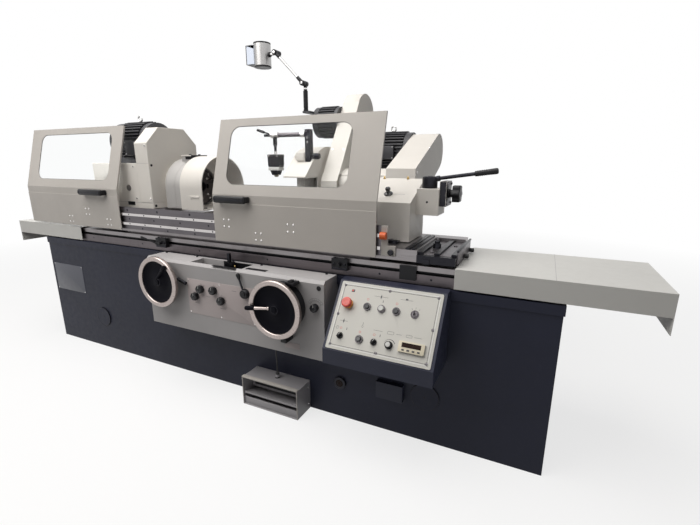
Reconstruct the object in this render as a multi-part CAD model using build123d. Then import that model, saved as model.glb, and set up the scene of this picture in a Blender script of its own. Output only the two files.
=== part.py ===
from build123d import *
import math
import os

# A universal cylindrical grinder with sliding guards, in millimetres.
# X runs along the table, Y points to the rear, Z is up.
# The origin is on the floor, at the middle of the bed and straight below the work axis.

# Clearances
RUN_GAP = 0.05
SLIDE_GAP = 0.3

# Work axis
AXIS_Z = 1048.0

# Front bed
BED_LENGTH = 3084.0
BED_DEPTH = 560.0
BED_FRONT = -300.0
BED_TOP = 706.0
BED_WALL = 28.0
RIM_HEIGHT = 38.0
RIM_PROUD = 5.0

# Table ways on the front bed
WAY_LENGTH = 2840.0
WAY_WIDTH = 70.0
WAY_RISE = 10.0
FLAT_WAY_Y = -190.0
VEE_WAY_Y = 40.0
VEE_HALF = 12.0

# Rear bed under the wheelhead
REAR_LEFT = -330.0
REAR_WIDTH = 1200.0
REAR_DEPTH = 800.0
REAR_TOP = 640.0
CROSS_WAY_WIDTH = 80.0
CROSS_WAY_RISE = 12.0
CROSS_WAY_INSET = 150.0

# Lifting-hole covers and oil sight on the bed front
LIFT_COVER_X = 1062.0
LIFT_COVER_Z = 216.0
LIFT_COVER_R = 60.0
LIFT_COVER_PROUD = 6.0
SIGHT_X = 656.0
SIGHT_Z = 182.0
SIGHT_R = 30.0
SIGHT_PROUD = 10.0

# Sheet-metal way covers at both ends
COVER_INNER_X = 1153.0
COVER_LENGTH = 688.0
COVER_DEPTH = 440.0
COVER_TOP = 795.0
COVER_SHEET = 2.5
COVER_SKIRT_Z = 714.0
COVER_END_Z = 655.0
COVER_FOOT = 25.0

# Lower table
TABLE_LENGTH = 2920.0
TABLE_FRONT = -285.0
TABLE_DEPTH = 400.0
TABLE_TOP = 788.0
SKIRT_CLEAR = 4.0
SKIRT_DEPTH = 22.0
DOG_SLOT_Z = 760.0
DOG_SLOT_NECK = 14.0
DOG_SLOT_HEAD = 26.0
DOG_SLOT_STEP = 9.0
LAND_LENGTH = 1560.0
LAND_RISE = 12.0
LAND_MARGIN = 35.0
PIVOT_R = 30.0
PIVOT_RISE = 30.0

# Swivel table
SWIVEL_LENGTH = 2260.0
SWIVEL_FRONT = -278.0
SWIVEL_BACK = 110.0
SWIVEL_TOP = 848.0

# Guard rails on the front of the swivel table
RAIL_PLATE_LEFT = -1260.0
RAIL_PLATE_RIGHT = 872.0
RAIL_PLATE_THICK = 8.0
RAIL_PLATE_LOW = 815.0
RAIL_PLATE_TOP = 940.0
RAIL_HEIGHT = 14.0
RAIL_DEPTH = 9.0
RAIL_UPPER_Z = 900.0
RAIL_LOWER_Z = 847.0
RAIL_END_INSET = 28.0
RAIL_LUG_LENGTH = 34.0
RAIL_LUG_TOP = 858.0
BUFFER_R = 15.0
BUFFER_LENGTH = 26.0

# Sliding guards
GUARD_BACK = -300.0
GUARD_SHEET = 2.5
GUARD_LOW = 808.0
GUARD_FOLD = 1038.0
GUARD_TOP = 1391.0
GUARD_LEAN = 99.0
GUARD_FLANGE = 9.0
GUARD_LEFT_X = (-1646.0, -756.0)
GUARD_RIGHT_X = (-40.0, 828.0)
WINDOW_LEFT_X = (-1540.0, -845.0)
WINDOW_RIGHT_X = (34.0, 687.0)
WINDOW_LOW = 1086.0
WINDOW_TOP = 1356.0
WINDOW_CORNER = 52.0
PANE_LAP = 14.0
PANE_THICK = 4.0
HANDLE_LEFT_X = (-1090.0, -845.0)
HANDLE_RIGHT_X = (-22.0, 190.0)
HANDLE_Z = 1018.0
HANDLE_HEIGHT = 26.0
HANDLE_REACH = 42.0
HANDLE_BAR = 20.0
UPPER_CARRIAGES_LEFT = (-1048.0,)
LOWER_CARRIAGES_LEFT = (-1220.0, -857.0)
UPPER_CARRIAGES_RIGHT = (39.0, 413.0)
LOWER_CARRIAGES_RIGHT = (230.0,)
CARRIAGE_LENGTH = 70.0
CARRIAGE_MARGIN = 12.0

# Headstock
HEAD_LEFT = -1067.0
HEAD_BODY_RIGHT = -672.0
HEAD_COVER_RIGHT = -571.0
NOSE_LEFT = -530.0
NOSE_POCKET_LEFT = -472.0
HOOD_LEFT = -402.0
HOOD_RIGHT = -240.0
HEAD_FRONT = -220.0
HEAD_BACK = 137.0
HEAD_BOTTOM = 930.0
HEAD_PLINTH_TOP = 962.0
HEAD_BODY_TOP = 1183.0
HEAD_COVER_TOP = 1380.0
HEAD_COVER_CHAMFER = 88.0
HEAD_COVER_WALL = 4.0
HEAD_PIVOT_X = -720.0
HEAD_PIVOT_Y = -55.0
HEAD_WALL = 30.0
HEAD_TUBE_R = 75.0
TURNTABLE_R = 165.0
TURNTABLE_FOOT = 42.0
TURNTABLE_FOOT_LENGTH = 560.0
NOSE_NECK_R = 126.0
NOSE_REAR_R = 162.0
NOSE_FRONT_R = 122.0
CHUCK_CLEARANCE = 6.0
HOOD_R = 174.0
HOOD_WALL = 6.0
NOSE_LUG_LENGTH = 98.0
NOSE_LUG_WIDTH = 100.0
NOSE_LUG_RISE = 17.0

# Work spindle and chuck
SPINDLE_R = 45.0
SPINDLE_NOSE_R = 70.0
SPINDLE_NOSE = 14.0
WORK_PULLEY_R = 78.0
BELT_PULLEY_WIDTH = 52.0
CHUCK_R = 104.0
CHUCK_LENGTH = 46.0
CHUCK_BORE_R = 26.0
CHUCK_BORE_DEPTH = 34.0
JAW_LENGTH = 16.0
JAW_WIDTH = 26.0
JAW_INNER = 38.0
JAW_OUTER = 92.0
CHUCK_HOLE_R = 5.5
CHUCK_HOLE_PCD = 160.0
CHUCK_HOLE_COUNT = 6

# Headstock motor
HEAD_MOTOR_Y = -44.0
HEAD_MOTOR_Z = 1305.0
HEAD_MOTOR_R = 101.0
HEAD_MOTOR_LENGTH = 293.0
HEAD_MOTOR_FIN = 17.5
HEAD_MOTOR_FINS = 36
MOTOR_SHAFT_R = 14.0
MOTOR_PULLEY_R = 48.0
EYE_RING_R = 16.0
EYE_WIRE_R = 5.0
EYE_STEM = 12.0

# Tailstock
TAIL_LEFT = 640.0
TAIL_RIGHT = 921.0
TAIL_FRONT = -150.0
TAIL_BACK = 65.0
TAIL_BASE_RISE = 4.0
TAIL_FRONT_TOP = 1021.0
TAIL_BACK_TOP = 1115.0
TAIL_BASE_INSET = 14.0
QUILL_R = 27.0
QUILL_NOSE_X = 575.0
QUILL_LENGTH = 300.0
CENTRE_R = 16.0
CENTRE_LENGTH = 62.0
QUILL_TRAVEL = 35.0
QUILL_BLOCK_RIGHT = 1020.0
QUILL_BLOCK_HALF = 62.0
QUILL_BLOCK_LOW = 962.0
QUILL_BLOCK_TOP = 1077.0
HUB_X = 963.0
HUB_R = 34.0
HUB_HEIGHT = 54.0
LEVER_SEAT = 38.0
LEVER_R = 8.0
LEVER_REACH = 287.0
LEVER_RISE = 41.0
GRIP_R = 13.0
GRIP_LENGTH = 96.0
KNOB_FLANGE_HALF = 54.0
KNOB_FLANGE = 30.0
KNOB_AXIS_Z = 1056.0
STAR_KNOB_R = 40.0
STAR_KNOB_LENGTH = 34.0
STAR_LOBES = 6
STAR_LOBE_R = 13.0
STAR_NECK_R = 20.0
STAR_NECK = 19.0
CLAMP_KNOB_X = 797.0
CLAMP_KNOB_Y = -82.0
CLAMP_KNOB_R = 20.0
CLAMP_KNOB_HEIGHT = 34.0

# Table end clamp
END_CLAMP_LEFT = 996.0
END_CLAMP_RIGHT = 1150.0
END_CLAMP_BACK = 40.0
END_CLAMP_STEP = 28.0
END_CLAMP_THICK = 12.0
END_CLAMP_BARS = 3
END_CLAMP_BAR = 20.0
END_CLAMP_BAR_RISE = 10.0
END_CLAMP_DROP = 20.0
END_CLAMP_NUT_R = 17.0
END_CLAMP_NUT_RISE = 22.0

# Trip dogs and reversing lever
DOG_LEFT_X = -440.0
DOG_RIGHT_X = 660.0
DOG_LENGTH = 76.0
DOG_HEIGHT = 50.0
DOG_DEPTH = 22.0
STOP_BLOCK_X = (930.0, 1000.0)
STOP_BLOCK_Z = (727.0, 786.0)
STOP_BLOCK_DEPTH = 10.0
DOG_SCREW_R = 9.0
DOG_SCREW_LENGTH = 16.0
REVERSE_X = 76.0
REVERSE_Y = -345.0
REVERSE_HUB_R = 20.0
REVERSE_ARM = 64.0
REVERSE_ARM_WIDTH = 14.0
REVERSE_LIFT = 2.0
REVERSE_PIN_R = 7.0
REVERSE_PIN_IN = 12.0

# Apron housing on the bed front
APRON_LEFT = -425.0
APRON_RIGHT = 645.0
APRON_FRONT = -419.0
APRON_LOW = 345.0
APRON_TOP = 710.0
APRON_EDGE = 14.0
APRON_PAN_DEPTH = 36.0
APRON_PAN = (-120.0, 200.0, -405.0, -318.0)
APRON_WALL = 16.0
APRON_FRONT_WALL = 60.0

# Handwheels
WHEEL_RIM_R = 132.0
WHEEL_RIM_SECTION = 12.0
WHEEL_WEB = 8.0
WHEEL_HUB_R = 30.0
WHEEL_SHAFT_R = 12.0
WHEEL_SHAFT_IN = 45.0
CRANK_R = 96.0
TABLE_CRANK_TURN = 35.0
INFEED_CRANK_TURN = 270.0
CRANK_HANDLE_R = 11.0
CRANK_HANDLE_LENGTH = 58.0
TABLE_WHEEL_X = -297.0
TABLE_WHEEL_Z = 598.0
TABLE_WHEEL_REACH = 34.0
INFEED_WHEEL_X = 445.0
INFEED_WHEEL_Z = 580.0
INFEED_DRUM_R = 108.0
INFEED_DRUM_LENGTH = 64.0
INFEED_DRUM_WALL = 8.0

# Small apron controls
VALVE_PLACES = ((-85.0, 542.0), (-47.0, 584.0), (36.0, 588.0), (83.0, 542.0))
VALVE_R = 15.0
VALVE_LENGTH = 24.0
VALVE_STEM_R = 6.0
VALVE_STEM_IN = 20.0
START_LEVER_X = 229.0
START_LEVER_Z = 599.0
START_HUB_R = 24.0
START_HUB_LENGTH = 24.0
START_STICK_R = 5.0
START_STICK_LENGTH = 92.0
START_STICK_LEAN = 18.0
START_BALL_R = 10.0
FEED_KNOB_X = 604.0
FEED_KNOB_Z = 592.0
FEED_KNOB_R = 18.0

# Control box with a tilted panel
BOX_LEFT = 690.0
BOX_RIGHT = 1142.0
PANEL_TOP_Y = -345.0
PANEL_TOP_Z = 708.0
PANEL_FOOT_Y = -520.0
PANEL_FOOT_Z = 467.0
BOX_LOW = 402.0
BOX_BACK_TOP = 712.0
BOX_SHEET = 3.0
PANEL_PLATE = 3.0
PANEL_MARGIN = 12.0
PANEL_ROW_1 = 101.0
PANEL_ROW_2 = 235.0
PANEL_COLUMNS = (753.0, 837.0, 898.0, 960.0, 1034.0)
BEZEL_R = 15.0
BEZEL_RISE = 6.0
BUTTON_R = 11.0
BUTTON_RISE = 10.0
BUTTON_TRAVEL = 4.0
BUTTON_FLOOR = 1.0
SELECTOR_TURN = -35.0
STOP_R = 22.0
STOP_HEAD = 16.0
STOP_LIFT = 14.0
SELECTOR_R = 13.0
SELECTOR_BASE = 6.0
SELECTOR_GRIP = 14.0
SELECTOR_GRIP_WIDTH = 9.0
SPEED_KNOB_R = 16.0
SPEED_KNOB_HEIGHT = 18.0
DISPLAY_X = 1049.0
DISPLAY_DOWN = 230.0
DISPLAY_WIDTH = 100.0
DISPLAY_HEIGHT = 42.0
DISPLAY_CORNER = 3.0
DISPLAY_RISE = 10.0
BOX_BRACKET_X = (846.0, 968.0)
BOX_BRACKET_LOW = 172.0
BOX_BRACKET_TOP = 250.0
BOX_BRACKET_DEPTH = 26.0

# Foot switch in front of the bed
FOOT_LEFT = 165.0
FOOT_WIDTH = 323.0
FOOT_DEPTH = 119.0
FOOT_HEIGHT = 150.0
FOOT_SHEET = 3.0
TREADLE_THICK = 8.0
TREADLE_GAP = 4.0
TREADLE_REAR_Z = 38.0
TREADLE_FRONT_Z = 66.0
TREADLE_PIN_R = 6.0
GLAND_X = 329.0
GLAND_Y = -342.0
GLAND_R = 12.0
GLAND_RISE = 18.0
CABLE_R = 3.5
CABLE_BOW = 2.5

# Cross slide
SLIDE_LEFT = -120.0
SLIDE_WIDTH = 780.0
SLIDE_FRONT = 510.0
SLIDE_DEPTH = 500.0
SLIDE_HEIGHT = 108.0
SWIVEL_DISC_R = 190.0
SWIVEL_DISC_RISE = 40.0
WHEELHEAD_PIVOT_X = 330.0
WHEELHEAD_PIVOT_Y = 700.0

# Wheelhead body
WHEEL_AXIS_Y = 450.0
HEAD_CASE_LEFT = 200.0
HEAD_CASE_RIGHT = 620.0
HEAD_CASE_FRONT = 365.0
HEAD_CASE_BACK = 1000.0
HEAD_CASE_TOP = 1120.0
SPINDLE_BARREL_R = 104.0
HEAD_CASE_WALL = 28.0
HEAD_CASE_HOLLOW_FRONT = 600.0
HEAD_CASE_STEP_Y = 480.0

# Grinding wheel, spindle and guard
WHEEL_R = 200.0
WHEEL_WIDTH = 50.0
WHEEL_LEFT = 96.0
WHEEL_BORE_R = 63.5
WHEEL_FLANGE_R = 92.0
WHEEL_FLANGE = 16.0
WHEEL_SPINDLE_R = 40.0
WHEEL_PULLEY_R = 78.0
GUARD_CASE_LEFT = 52.0
GUARD_CASE_R = 232.0
GUARD_CASE_WALL = 8.0
GUARD_MOUTH_TOP = 1100.0
GUARD_MOUTH_Y = 318.0
GUARD_CASE_LOW = 858.0
GUARD_LIP_Y = 176.0
GUARD_LIP_Z = 1109.0
GUARD_LIP = 8.0

# Main wheel motor and belt cover
MAIN_MOTOR_Y = 862.0
MAIN_MOTOR_Z = 1256.0
MAIN_MOTOR_R = 112.0
MAIN_MOTOR_LENGTH = 280.0
MAIN_MOTOR_FIN = 18.0
MAIN_MOTOR_FINS = 36
MAIN_PULLEY_R = 66.0
MAIN_COVER_RIGHT = 790.0
MAIN_COVER_FRONT = 352.0
MAIN_COVER_LOW = 905.0
MAIN_COVER_FRONT_TOP = 1155.0
MAIN_COVER_BACK_R = 108.0
MAIN_COVER_WALL = 4.0

# Internal grinding drive on the wheelhead
INNER_COVER_LEFT = 222.0
INNER_COVER_WIDTH = 108.0
INNER_COVER_FRONT = 344.0
INNER_COVER_BACK = 690.0
INNER_COVER_TOP_Y = 735.0
INNER_COVER_TOP_Z = 1484.0
INNER_COVER_TOP_R = 130.0
INNER_COVER_WALL = 5.0
INNER_MOTOR_Y = 610.0
INNER_MOTOR_Z = 1436.0
INNER_MOTOR_R = 86.0
INNER_MOTOR_LENGTH = 170.0
INNER_MOTOR_FIN = 12.0
INNER_MOTOR_FINS = 30

# Coolant arm
ARM_YOKE_X = 168.0
ARM_YOKE_Y = 262.0
ARM_YOKE_WIDTH = 34.0
ARM_YOKE_TOP = 1372.0
ARM_ROD_Z = 1345.0
ARM_ROD_R = 8.0
ARM_ROD_LENGTH = 330.0
ARM_DROP_X = -70.0
ARM_CLAMP_R = 16.0
ARM_CLAMP_LENGTH = 44.0
NOZZLE_WIDTH = 84.0
NOZZLE_TOP = 1232.0
NOZZLE_LOW = 1112.0
NOZZLE_DEPTH = 50.0

# Work lamp
LAMP_Y = 500.0
LAMP_POST_X = 18.0
LAMP_POST_R = 11.0
LAMP_POST_LOW = 1500.0
LAMP_ELBOW_Z = 1660.0
LAMP_ELBOW_R = 16.0
LAMP_JOINT_X = -178.0
LAMP_JOINT_Z = 1852.0
LAMP_ARM_R = 8.0
LAMP_ARM_SIDE = 30.0
LAMP_HEAD_R = 55.0
LAMP_HEAD_HEIGHT = 145.0
LAMP_HEAD_X = -298.0
LAMP_LENS_REACH = 94.0
LAMP_LENS_WIDTH = 96.0
LAMP_LENS_HEIGHT = 114.0
LAMP_WALL = 4.0
LAMP_STEM_R = 9.0
LAMP_BRACKET = 12.0

# Values that follow from the driving dimensions
BED_BACK = BED_FRONT + BED_DEPTH
WAY_TOP = BED_TOP + WAY_RISE
TABLE_BACK = TABLE_FRONT + TABLE_DEPTH
LAND_TOP = TABLE_TOP + LAND_RISE
RAIL_PLATE_FRONT = SWIVEL_FRONT - RAIL_PLATE_THICK
RAIL_FACE = RAIL_PLATE_FRONT - RAIL_DEPTH
GUARD_FACE = GUARD_BACK - GUARD_SHEET
CARRIAGES_LEFT = (UPPER_CARRIAGES_LEFT, LOWER_CARRIAGES_LEFT)
CARRIAGES_RIGHT = (UPPER_CARRIAGES_RIGHT, LOWER_CARRIAGES_RIGHT)
CHUCK_LEFT = NOSE_POCKET_LEFT + SPINDLE_NOSE
COVER_WHEEL_X = (HEAD_CASE_RIGHT + MAIN_COVER_RIGHT) / 2
GUARD_CASE_RIGHT = HEAD_CASE_LEFT
SLIDE_BOTTOM = REAR_TOP + CROSS_WAY_RISE
SLIDE_TOP = SLIDE_BOTTOM + SLIDE_HEIGHT
HEAD_CASE_BOTTOM = SLIDE_TOP + SWIVEL_DISC_RISE
HUB_LOW = QUILL_BLOCK_TOP
TAIL_BASE_TOP = SWIVEL_TOP + TAIL_BASE_RISE
END_CLAMP_LOW = SWIVEL_TOP - END_CLAMP_STEP
STAR_FACE = QUILL_BLOCK_RIGHT + KNOB_FLANGE
FOOT_BACK = BED_FRONT + RIM_PROUD
FOOT_FRONT = FOOT_BACK - FOOT_DEPTH
RIM_LOW = BED_TOP - RIM_HEIGHT
APRON_WHEEL_Y = APRON_FRONT - TABLE_WHEEL_REACH
INFEED_WHEEL_Y = APRON_FRONT - INFEED_DRUM_LENGTH
HANDLE_Y = GUARD_FACE - HANDLE_REACH
PANEL_SLOPE = math.hypot(PANEL_TOP_Y - PANEL_FOOT_Y, PANEL_TOP_Z - PANEL_FOOT_Z)
PANEL_DOWN = Vector(0, PANEL_FOOT_Y - PANEL_TOP_Y, PANEL_FOOT_Z - PANEL_TOP_Z).normalized()
PANEL_OUT = PANEL_DOWN.cross(Vector(1, 0, 0))


def block(x_span, y_span, z_span):
    """A box between three pairs of limits."""
    size = [high - low for low, high in (x_span, y_span, z_span)]
    corner = Pos(x_span[0], y_span[0], z_span[0])
    return corner * Box(*size, align=(Align.MIN, Align.MIN, Align.MIN))


def rod_x(x_span, y, z, radius):
    """A cylinder along X."""
    plane = Plane(origin=(x_span[0], y, z), x_dir=(0, 1, 0), z_dir=(1, 0, 0))
    return extrude(plane * Circle(radius), amount=x_span[1] - x_span[0])


def rod_y(y_span, x, z, radius):
    """A cylinder along Y."""
    plane = Plane(origin=(x, y_span[0], z), x_dir=(1, 0, 0), z_dir=(0, 1, 0))
    return extrude(plane * Circle(radius), amount=y_span[1] - y_span[0])


def rod_z(z_span, x, y, radius):
    """A cylinder along Z."""
    plane = Plane(origin=(x, y, z_span[0]), x_dir=(1, 0, 0), z_dir=(0, 0, 1))
    return extrude(plane * Circle(radius), amount=z_span[1] - z_span[0])


def rod_between(start, end, radius):
    """A cylinder from one point to another."""
    run = Vector(*end) - Vector(*start)
    plane = Plane(origin=start, z_dir=run)
    return extrude(plane * Circle(radius), amount=run.length)


def prism_x(points, x_span, inset=0.0):
    """A prism along X with an outline of (y, z) points, drawn in by an inset."""
    outline = make_face(Polyline(*points, close=True))
    if inset:
        outline = offset(outline, amount=-inset, kind=Kind.INTERSECTION)
    return extrude(Plane.YZ.offset(x_span[0]) * outline, amount=x_span[1] - x_span[0])


def hull_x(x_span, circles, points, inset=0.0):
    """A prism along X round circles (y, z, radius) and corner points (y, z), drawn in by an inset."""
    edges = [Pos(y, z) * Edge.make_circle(radius) for y, z, radius in circles]
    for first, second in zip(points, points[1:]):
        edges.append(Edge.make_line((*first, 0), (*second, 0)))
    outline = make_face(make_hull(edges))
    if inset:
        outline = offset(outline, amount=-inset, kind=Kind.INTERSECTION)
    return extrude(Plane.YZ.offset(x_span[0]) * outline, amount=x_span[1] - x_span[0])


def finned_motor(x_span, y, z, radius, fin, count):
    """A motor barrel along X with lengthwise fins, end bells and a fan cowl."""
    length = x_span[1] - x_span[0]
    bell = 0.14 * length
    cowl = 0.2 * length
    barrel = rod_x(x_span, y, z, radius)
    fin_span = (x_span[0] + cowl, x_span[1] - bell)
    fin_thick = radius * math.pi / count / 1.6
    for index in range(count):
        turn = Rot(360.0 * index / count, 0, 0)
        blade = block(fin_span, (-fin_thick / 2, fin_thick / 2), (radius - fin, radius + fin))
        barrel += Pos(0, y, z) * turn * blade
    barrel += rod_x((x_span[0], x_span[0] + cowl), y, z, radius + 0.7 * fin)
    barrel += rod_x((x_span[1] - bell, x_span[1]), y, z, radius + 0.5 * fin)
    return barrel


def eye_bolt(x, y, z):
    """A lifting eye that stands on a point."""
    ring_z = z + EYE_STEM + EYE_RING_R
    ring = Plane(origin=(x, y, ring_z), x_dir=(1, 0, 0), z_dir=(0, 1, 0)) * Torus(EYE_RING_R, EYE_WIRE_R)
    return ring + rod_z((z, ring_z - EYE_RING_R + EYE_WIRE_R / 2), x, y, EYE_WIRE_R * 1.6)


def front_bed():
    """Closed hollow bed casting with its rim, table ways, lifting covers and oil sight."""
    half = BED_LENGTH / 2
    rim = block((-half, half), (BED_FRONT, BED_BACK), (BED_TOP - RIM_HEIGHT, BED_TOP))
    body_x = (-half + RIM_PROUD, half - RIM_PROUD)
    body_y = (BED_FRONT + RIM_PROUD, BED_BACK)
    bed = rim + block(body_x, body_y, (0, BED_TOP))
    hollow_x = (body_x[0] + BED_WALL, body_x[1] - BED_WALL)
    hollow_y = (body_y[0] + BED_WALL, body_y[1] - BED_WALL)
    bed -= block(hollow_x, hollow_y, (BED_WALL, BED_TOP - BED_WALL))
    way_x = (-WAY_LENGTH / 2, WAY_LENGTH / 2)
    flat_y = (FLAT_WAY_Y - WAY_WIDTH / 2, FLAT_WAY_Y + WAY_WIDTH / 2)
    bed += block(way_x, flat_y, (BED_TOP, WAY_TOP))
    bed += prism_x(vee_way_outline(0, BED_TOP), way_x)
    for side in (-1, 1):
        cover_y = (body_y[0] - LIFT_COVER_PROUD, body_y[0])
        bed += rod_y(cover_y, side * LIFT_COVER_X, LIFT_COVER_Z, LIFT_COVER_R)
    bed += rod_y((body_y[0] - SIGHT_PROUD, body_y[0]), SIGHT_X, SIGHT_Z, SIGHT_R)
    return bed


def vee_way_outline(gap, low):
    """Outline of the vee way: its rail with the ridge, grown by a gap."""
    rail = WAY_WIDTH / 2
    ridge = VEE_HALF + gap
    points = [(-rail, low), (rail, low), (rail, WAY_TOP), (ridge, WAY_TOP), (0, WAY_TOP + ridge),
              (-ridge, WAY_TOP), (-rail, WAY_TOP)]
    return [(VEE_WAY_Y + y, z) for y, z in points]


def rear_bed():
    """Closed hollow casting behind the bed, with two cross ways for the wheelhead slide."""
    x_span = (REAR_LEFT, REAR_LEFT + REAR_WIDTH)
    y_span = (BED_BACK, BED_BACK + REAR_DEPTH)
    bed = block(x_span, y_span, (0, REAR_TOP))
    hollow_x = (x_span[0] + BED_WALL, x_span[1] - BED_WALL)
    hollow_y = (y_span[0] + BED_WALL, y_span[1] - BED_WALL)
    bed -= block(hollow_x, hollow_y, (BED_WALL, REAR_TOP - BED_WALL))
    for way_x in cross_way_places():
        rail = (way_x - CROSS_WAY_WIDTH / 2, way_x + CROSS_WAY_WIDTH / 2)
        bed += block(rail, y_span, (REAR_TOP, SLIDE_BOTTOM))
    return bed


def cross_way_places():
    """X of the two cross ways, set in from the sides of the slide."""
    return (SLIDE_LEFT + CROSS_WAY_INSET, SLIDE_LEFT + SLIDE_WIDTH - CROSS_WAY_INSET)


def way_cover(side):
    """Folded cover over one end of the ways, on a foot along its back."""
    inner, outer = COVER_INNER_X, COVER_INNER_X + COVER_LENGTH
    back = BED_FRONT + COVER_DEPTH
    front_skirt = (BED_FRONT, BED_FRONT + COVER_SHEET)
    back_skirt = (back - COVER_SHEET, back)
    cover = block((inner, outer), (BED_FRONT, back), (COVER_TOP - COVER_SHEET, COVER_TOP))
    cover += block((inner, outer), front_skirt, (COVER_SKIRT_Z, COVER_TOP))
    cover += block((inner, outer), back_skirt, (BED_TOP, COVER_TOP))
    cover += block((outer - COVER_SHEET, outer), (BED_FRONT, back), (COVER_END_Z, COVER_TOP))
    foot_x = (inner, BED_LENGTH / 2)
    cover += block(foot_x, (back, back + COVER_FOOT), (BED_TOP, BED_TOP + COVER_SHEET))
    if side < 0:
        cover = cover.mirror(Plane.YZ)
    return cover


def lower_table():
    """Table that rides on the ways, with a dog slot in front and a land for the swivel table."""
    x_span = (-TABLE_LENGTH / 2, TABLE_LENGTH / 2)
    table = block(x_span, (TABLE_FRONT, TABLE_BACK), (WAY_TOP, TABLE_TOP))
    skirt = (TABLE_FRONT, TABLE_FRONT + SKIRT_DEPTH)
    table += block(x_span, skirt, (BED_TOP + SKIRT_CLEAR, WAY_TOP))
    table -= prism_x(vee_way_outline(SLIDE_GAP, WAY_TOP - WAY_RISE), x_span)
    neck = (TABLE_FRONT, TABLE_FRONT + DOG_SLOT_STEP)
    head = (TABLE_FRONT + DOG_SLOT_STEP, TABLE_FRONT + 2 * DOG_SLOT_STEP)
    table -= block(x_span, neck, (DOG_SLOT_Z - DOG_SLOT_NECK / 2, DOG_SLOT_Z + DOG_SLOT_NECK / 2))
    table -= block(x_span, head, (DOG_SLOT_Z - DOG_SLOT_HEAD / 2, DOG_SLOT_Z + DOG_SLOT_HEAD / 2))
    land_x = (-LAND_LENGTH / 2, LAND_LENGTH / 2)
    table += block(land_x, (TABLE_FRONT + LAND_MARGIN, TABLE_BACK - LAND_MARGIN), (TABLE_TOP, LAND_TOP))
    table += rod_z((LAND_TOP, LAND_TOP + PIVOT_RISE), 0, 0, PIVOT_R)
    stop = block(STOP_BLOCK_X, (TABLE_FRONT - STOP_BLOCK_DEPTH, TABLE_FRONT), STOP_BLOCK_Z)
    return Compound(children=[table, stop])


def swivel_table():
    """Upper table with its pivot bore and headstock turntable."""
    x_span = (-SWIVEL_LENGTH / 2, SWIVEL_LENGTH / 2)
    table = block(x_span, (SWIVEL_FRONT, SWIVEL_BACK), (LAND_TOP, SWIVEL_TOP))
    table -= rod_z((LAND_TOP, LAND_TOP + PIVOT_RISE + SLIDE_GAP), 0, 0, PIVOT_R + RUN_GAP)
    foot_x = (HEAD_PIVOT_X - TURNTABLE_FOOT_LENGTH / 2, HEAD_PIVOT_X + TURNTABLE_FOOT_LENGTH / 2)
    table += block(foot_x, (HEAD_FRONT, SWIVEL_BACK), (SWIVEL_TOP, SWIVEL_TOP + TURNTABLE_FOOT))
    table += rod_z((SWIVEL_TOP + TURNTABLE_FOOT, HEAD_BOTTOM), HEAD_PIVOT_X, HEAD_PIVOT_Y, TURNTABLE_R)
    step_x = (END_CLAMP_LEFT, SWIVEL_LENGTH / 2)
    return table - block(step_x, (SWIVEL_FRONT, END_CLAMP_BACK), (END_CLAMP_LOW, SWIVEL_TOP))


def guard_rails():
    """Plate on the front of the swivel table with the two guard rails and a stop at their end."""
    plate_x = (RAIL_PLATE_LEFT, RAIL_PLATE_RIGHT)
    rails = block(plate_x, (RAIL_PLATE_FRONT, SWIVEL_FRONT), (RAIL_PLATE_LOW, RAIL_PLATE_TOP))
    rail_x = (RAIL_PLATE_LEFT + RAIL_END_INSET, RAIL_PLATE_RIGHT - RAIL_END_INSET)
    for rail_z in (RAIL_UPPER_Z, RAIL_LOWER_Z):
        height = (rail_z - RAIL_HEIGHT / 2, rail_z + RAIL_HEIGHT / 2)
        rails += block(rail_x, (RAIL_FACE, RAIL_PLATE_FRONT), height)
    lug_x = (RAIL_PLATE_RIGHT, RAIL_PLATE_RIGHT + RAIL_LUG_LENGTH)
    rails += block(lug_x, (RAIL_PLATE_FRONT, SWIVEL_FRONT), (RAIL_PLATE_LOW, RAIL_LUG_TOP))
    stop_x = (rail_x[1], rail_x[1] + BUFFER_LENGTH)
    return rails + rod_x(stop_x, RAIL_FACE, RAIL_UPPER_Z, BUFFER_R)


def table_clamps():
    """Dark clamp at the table end, and the clamp base under the tailstock."""
    x_span = (END_CLAMP_LEFT, END_CLAMP_RIGHT)
    top = END_CLAMP_LOW + END_CLAMP_THICK
    clamp = block(x_span, (RAIL_PLATE_FRONT, END_CLAMP_BACK), (END_CLAMP_LOW, top))
    clamp += block(x_span, (RAIL_PLATE_FRONT, SWIVEL_FRONT), (END_CLAMP_LOW - END_CLAMP_DROP, END_CLAMP_LOW))
    gap = (END_CLAMP_RIGHT - END_CLAMP_LEFT - END_CLAMP_BARS * END_CLAMP_BAR) / (END_CLAMP_BARS - 1)
    for index in range(END_CLAMP_BARS):
        left = END_CLAMP_LEFT + index * (END_CLAMP_BAR + gap)
        bar_y = (RAIL_PLATE_FRONT + END_CLAMP_BAR, END_CLAMP_BACK)
        clamp += block((left, left + END_CLAMP_BAR), bar_y, (top, top + END_CLAMP_BAR_RISE))
    nut_x = END_CLAMP_LEFT + END_CLAMP_BAR + gap / 2
    nut_y = (RAIL_PLATE_FRONT + END_CLAMP_BACK) / 2
    clamp += rod_z((top, top + END_CLAMP_NUT_RISE), nut_x, nut_y, END_CLAMP_NUT_R)
    base_x = (TAIL_LEFT + TAIL_BASE_INSET, TAIL_RIGHT - TAIL_BASE_INSET)
    base_y = (TAIL_FRONT + TAIL_BASE_INSET, TAIL_BACK - TAIL_BASE_INSET)
    base = block(base_x, base_y, (SWIVEL_TOP, TAIL_BASE_TOP))
    return Compound(children=[clamp, base])


def guard_face_y(z):
    """Y of a guard's face: upright below the fold, leaning back above it."""
    return GUARD_FACE + max(0.0, z - GUARD_FOLD) * GUARD_LEAN / (GUARD_TOP - GUARD_FOLD)


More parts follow.
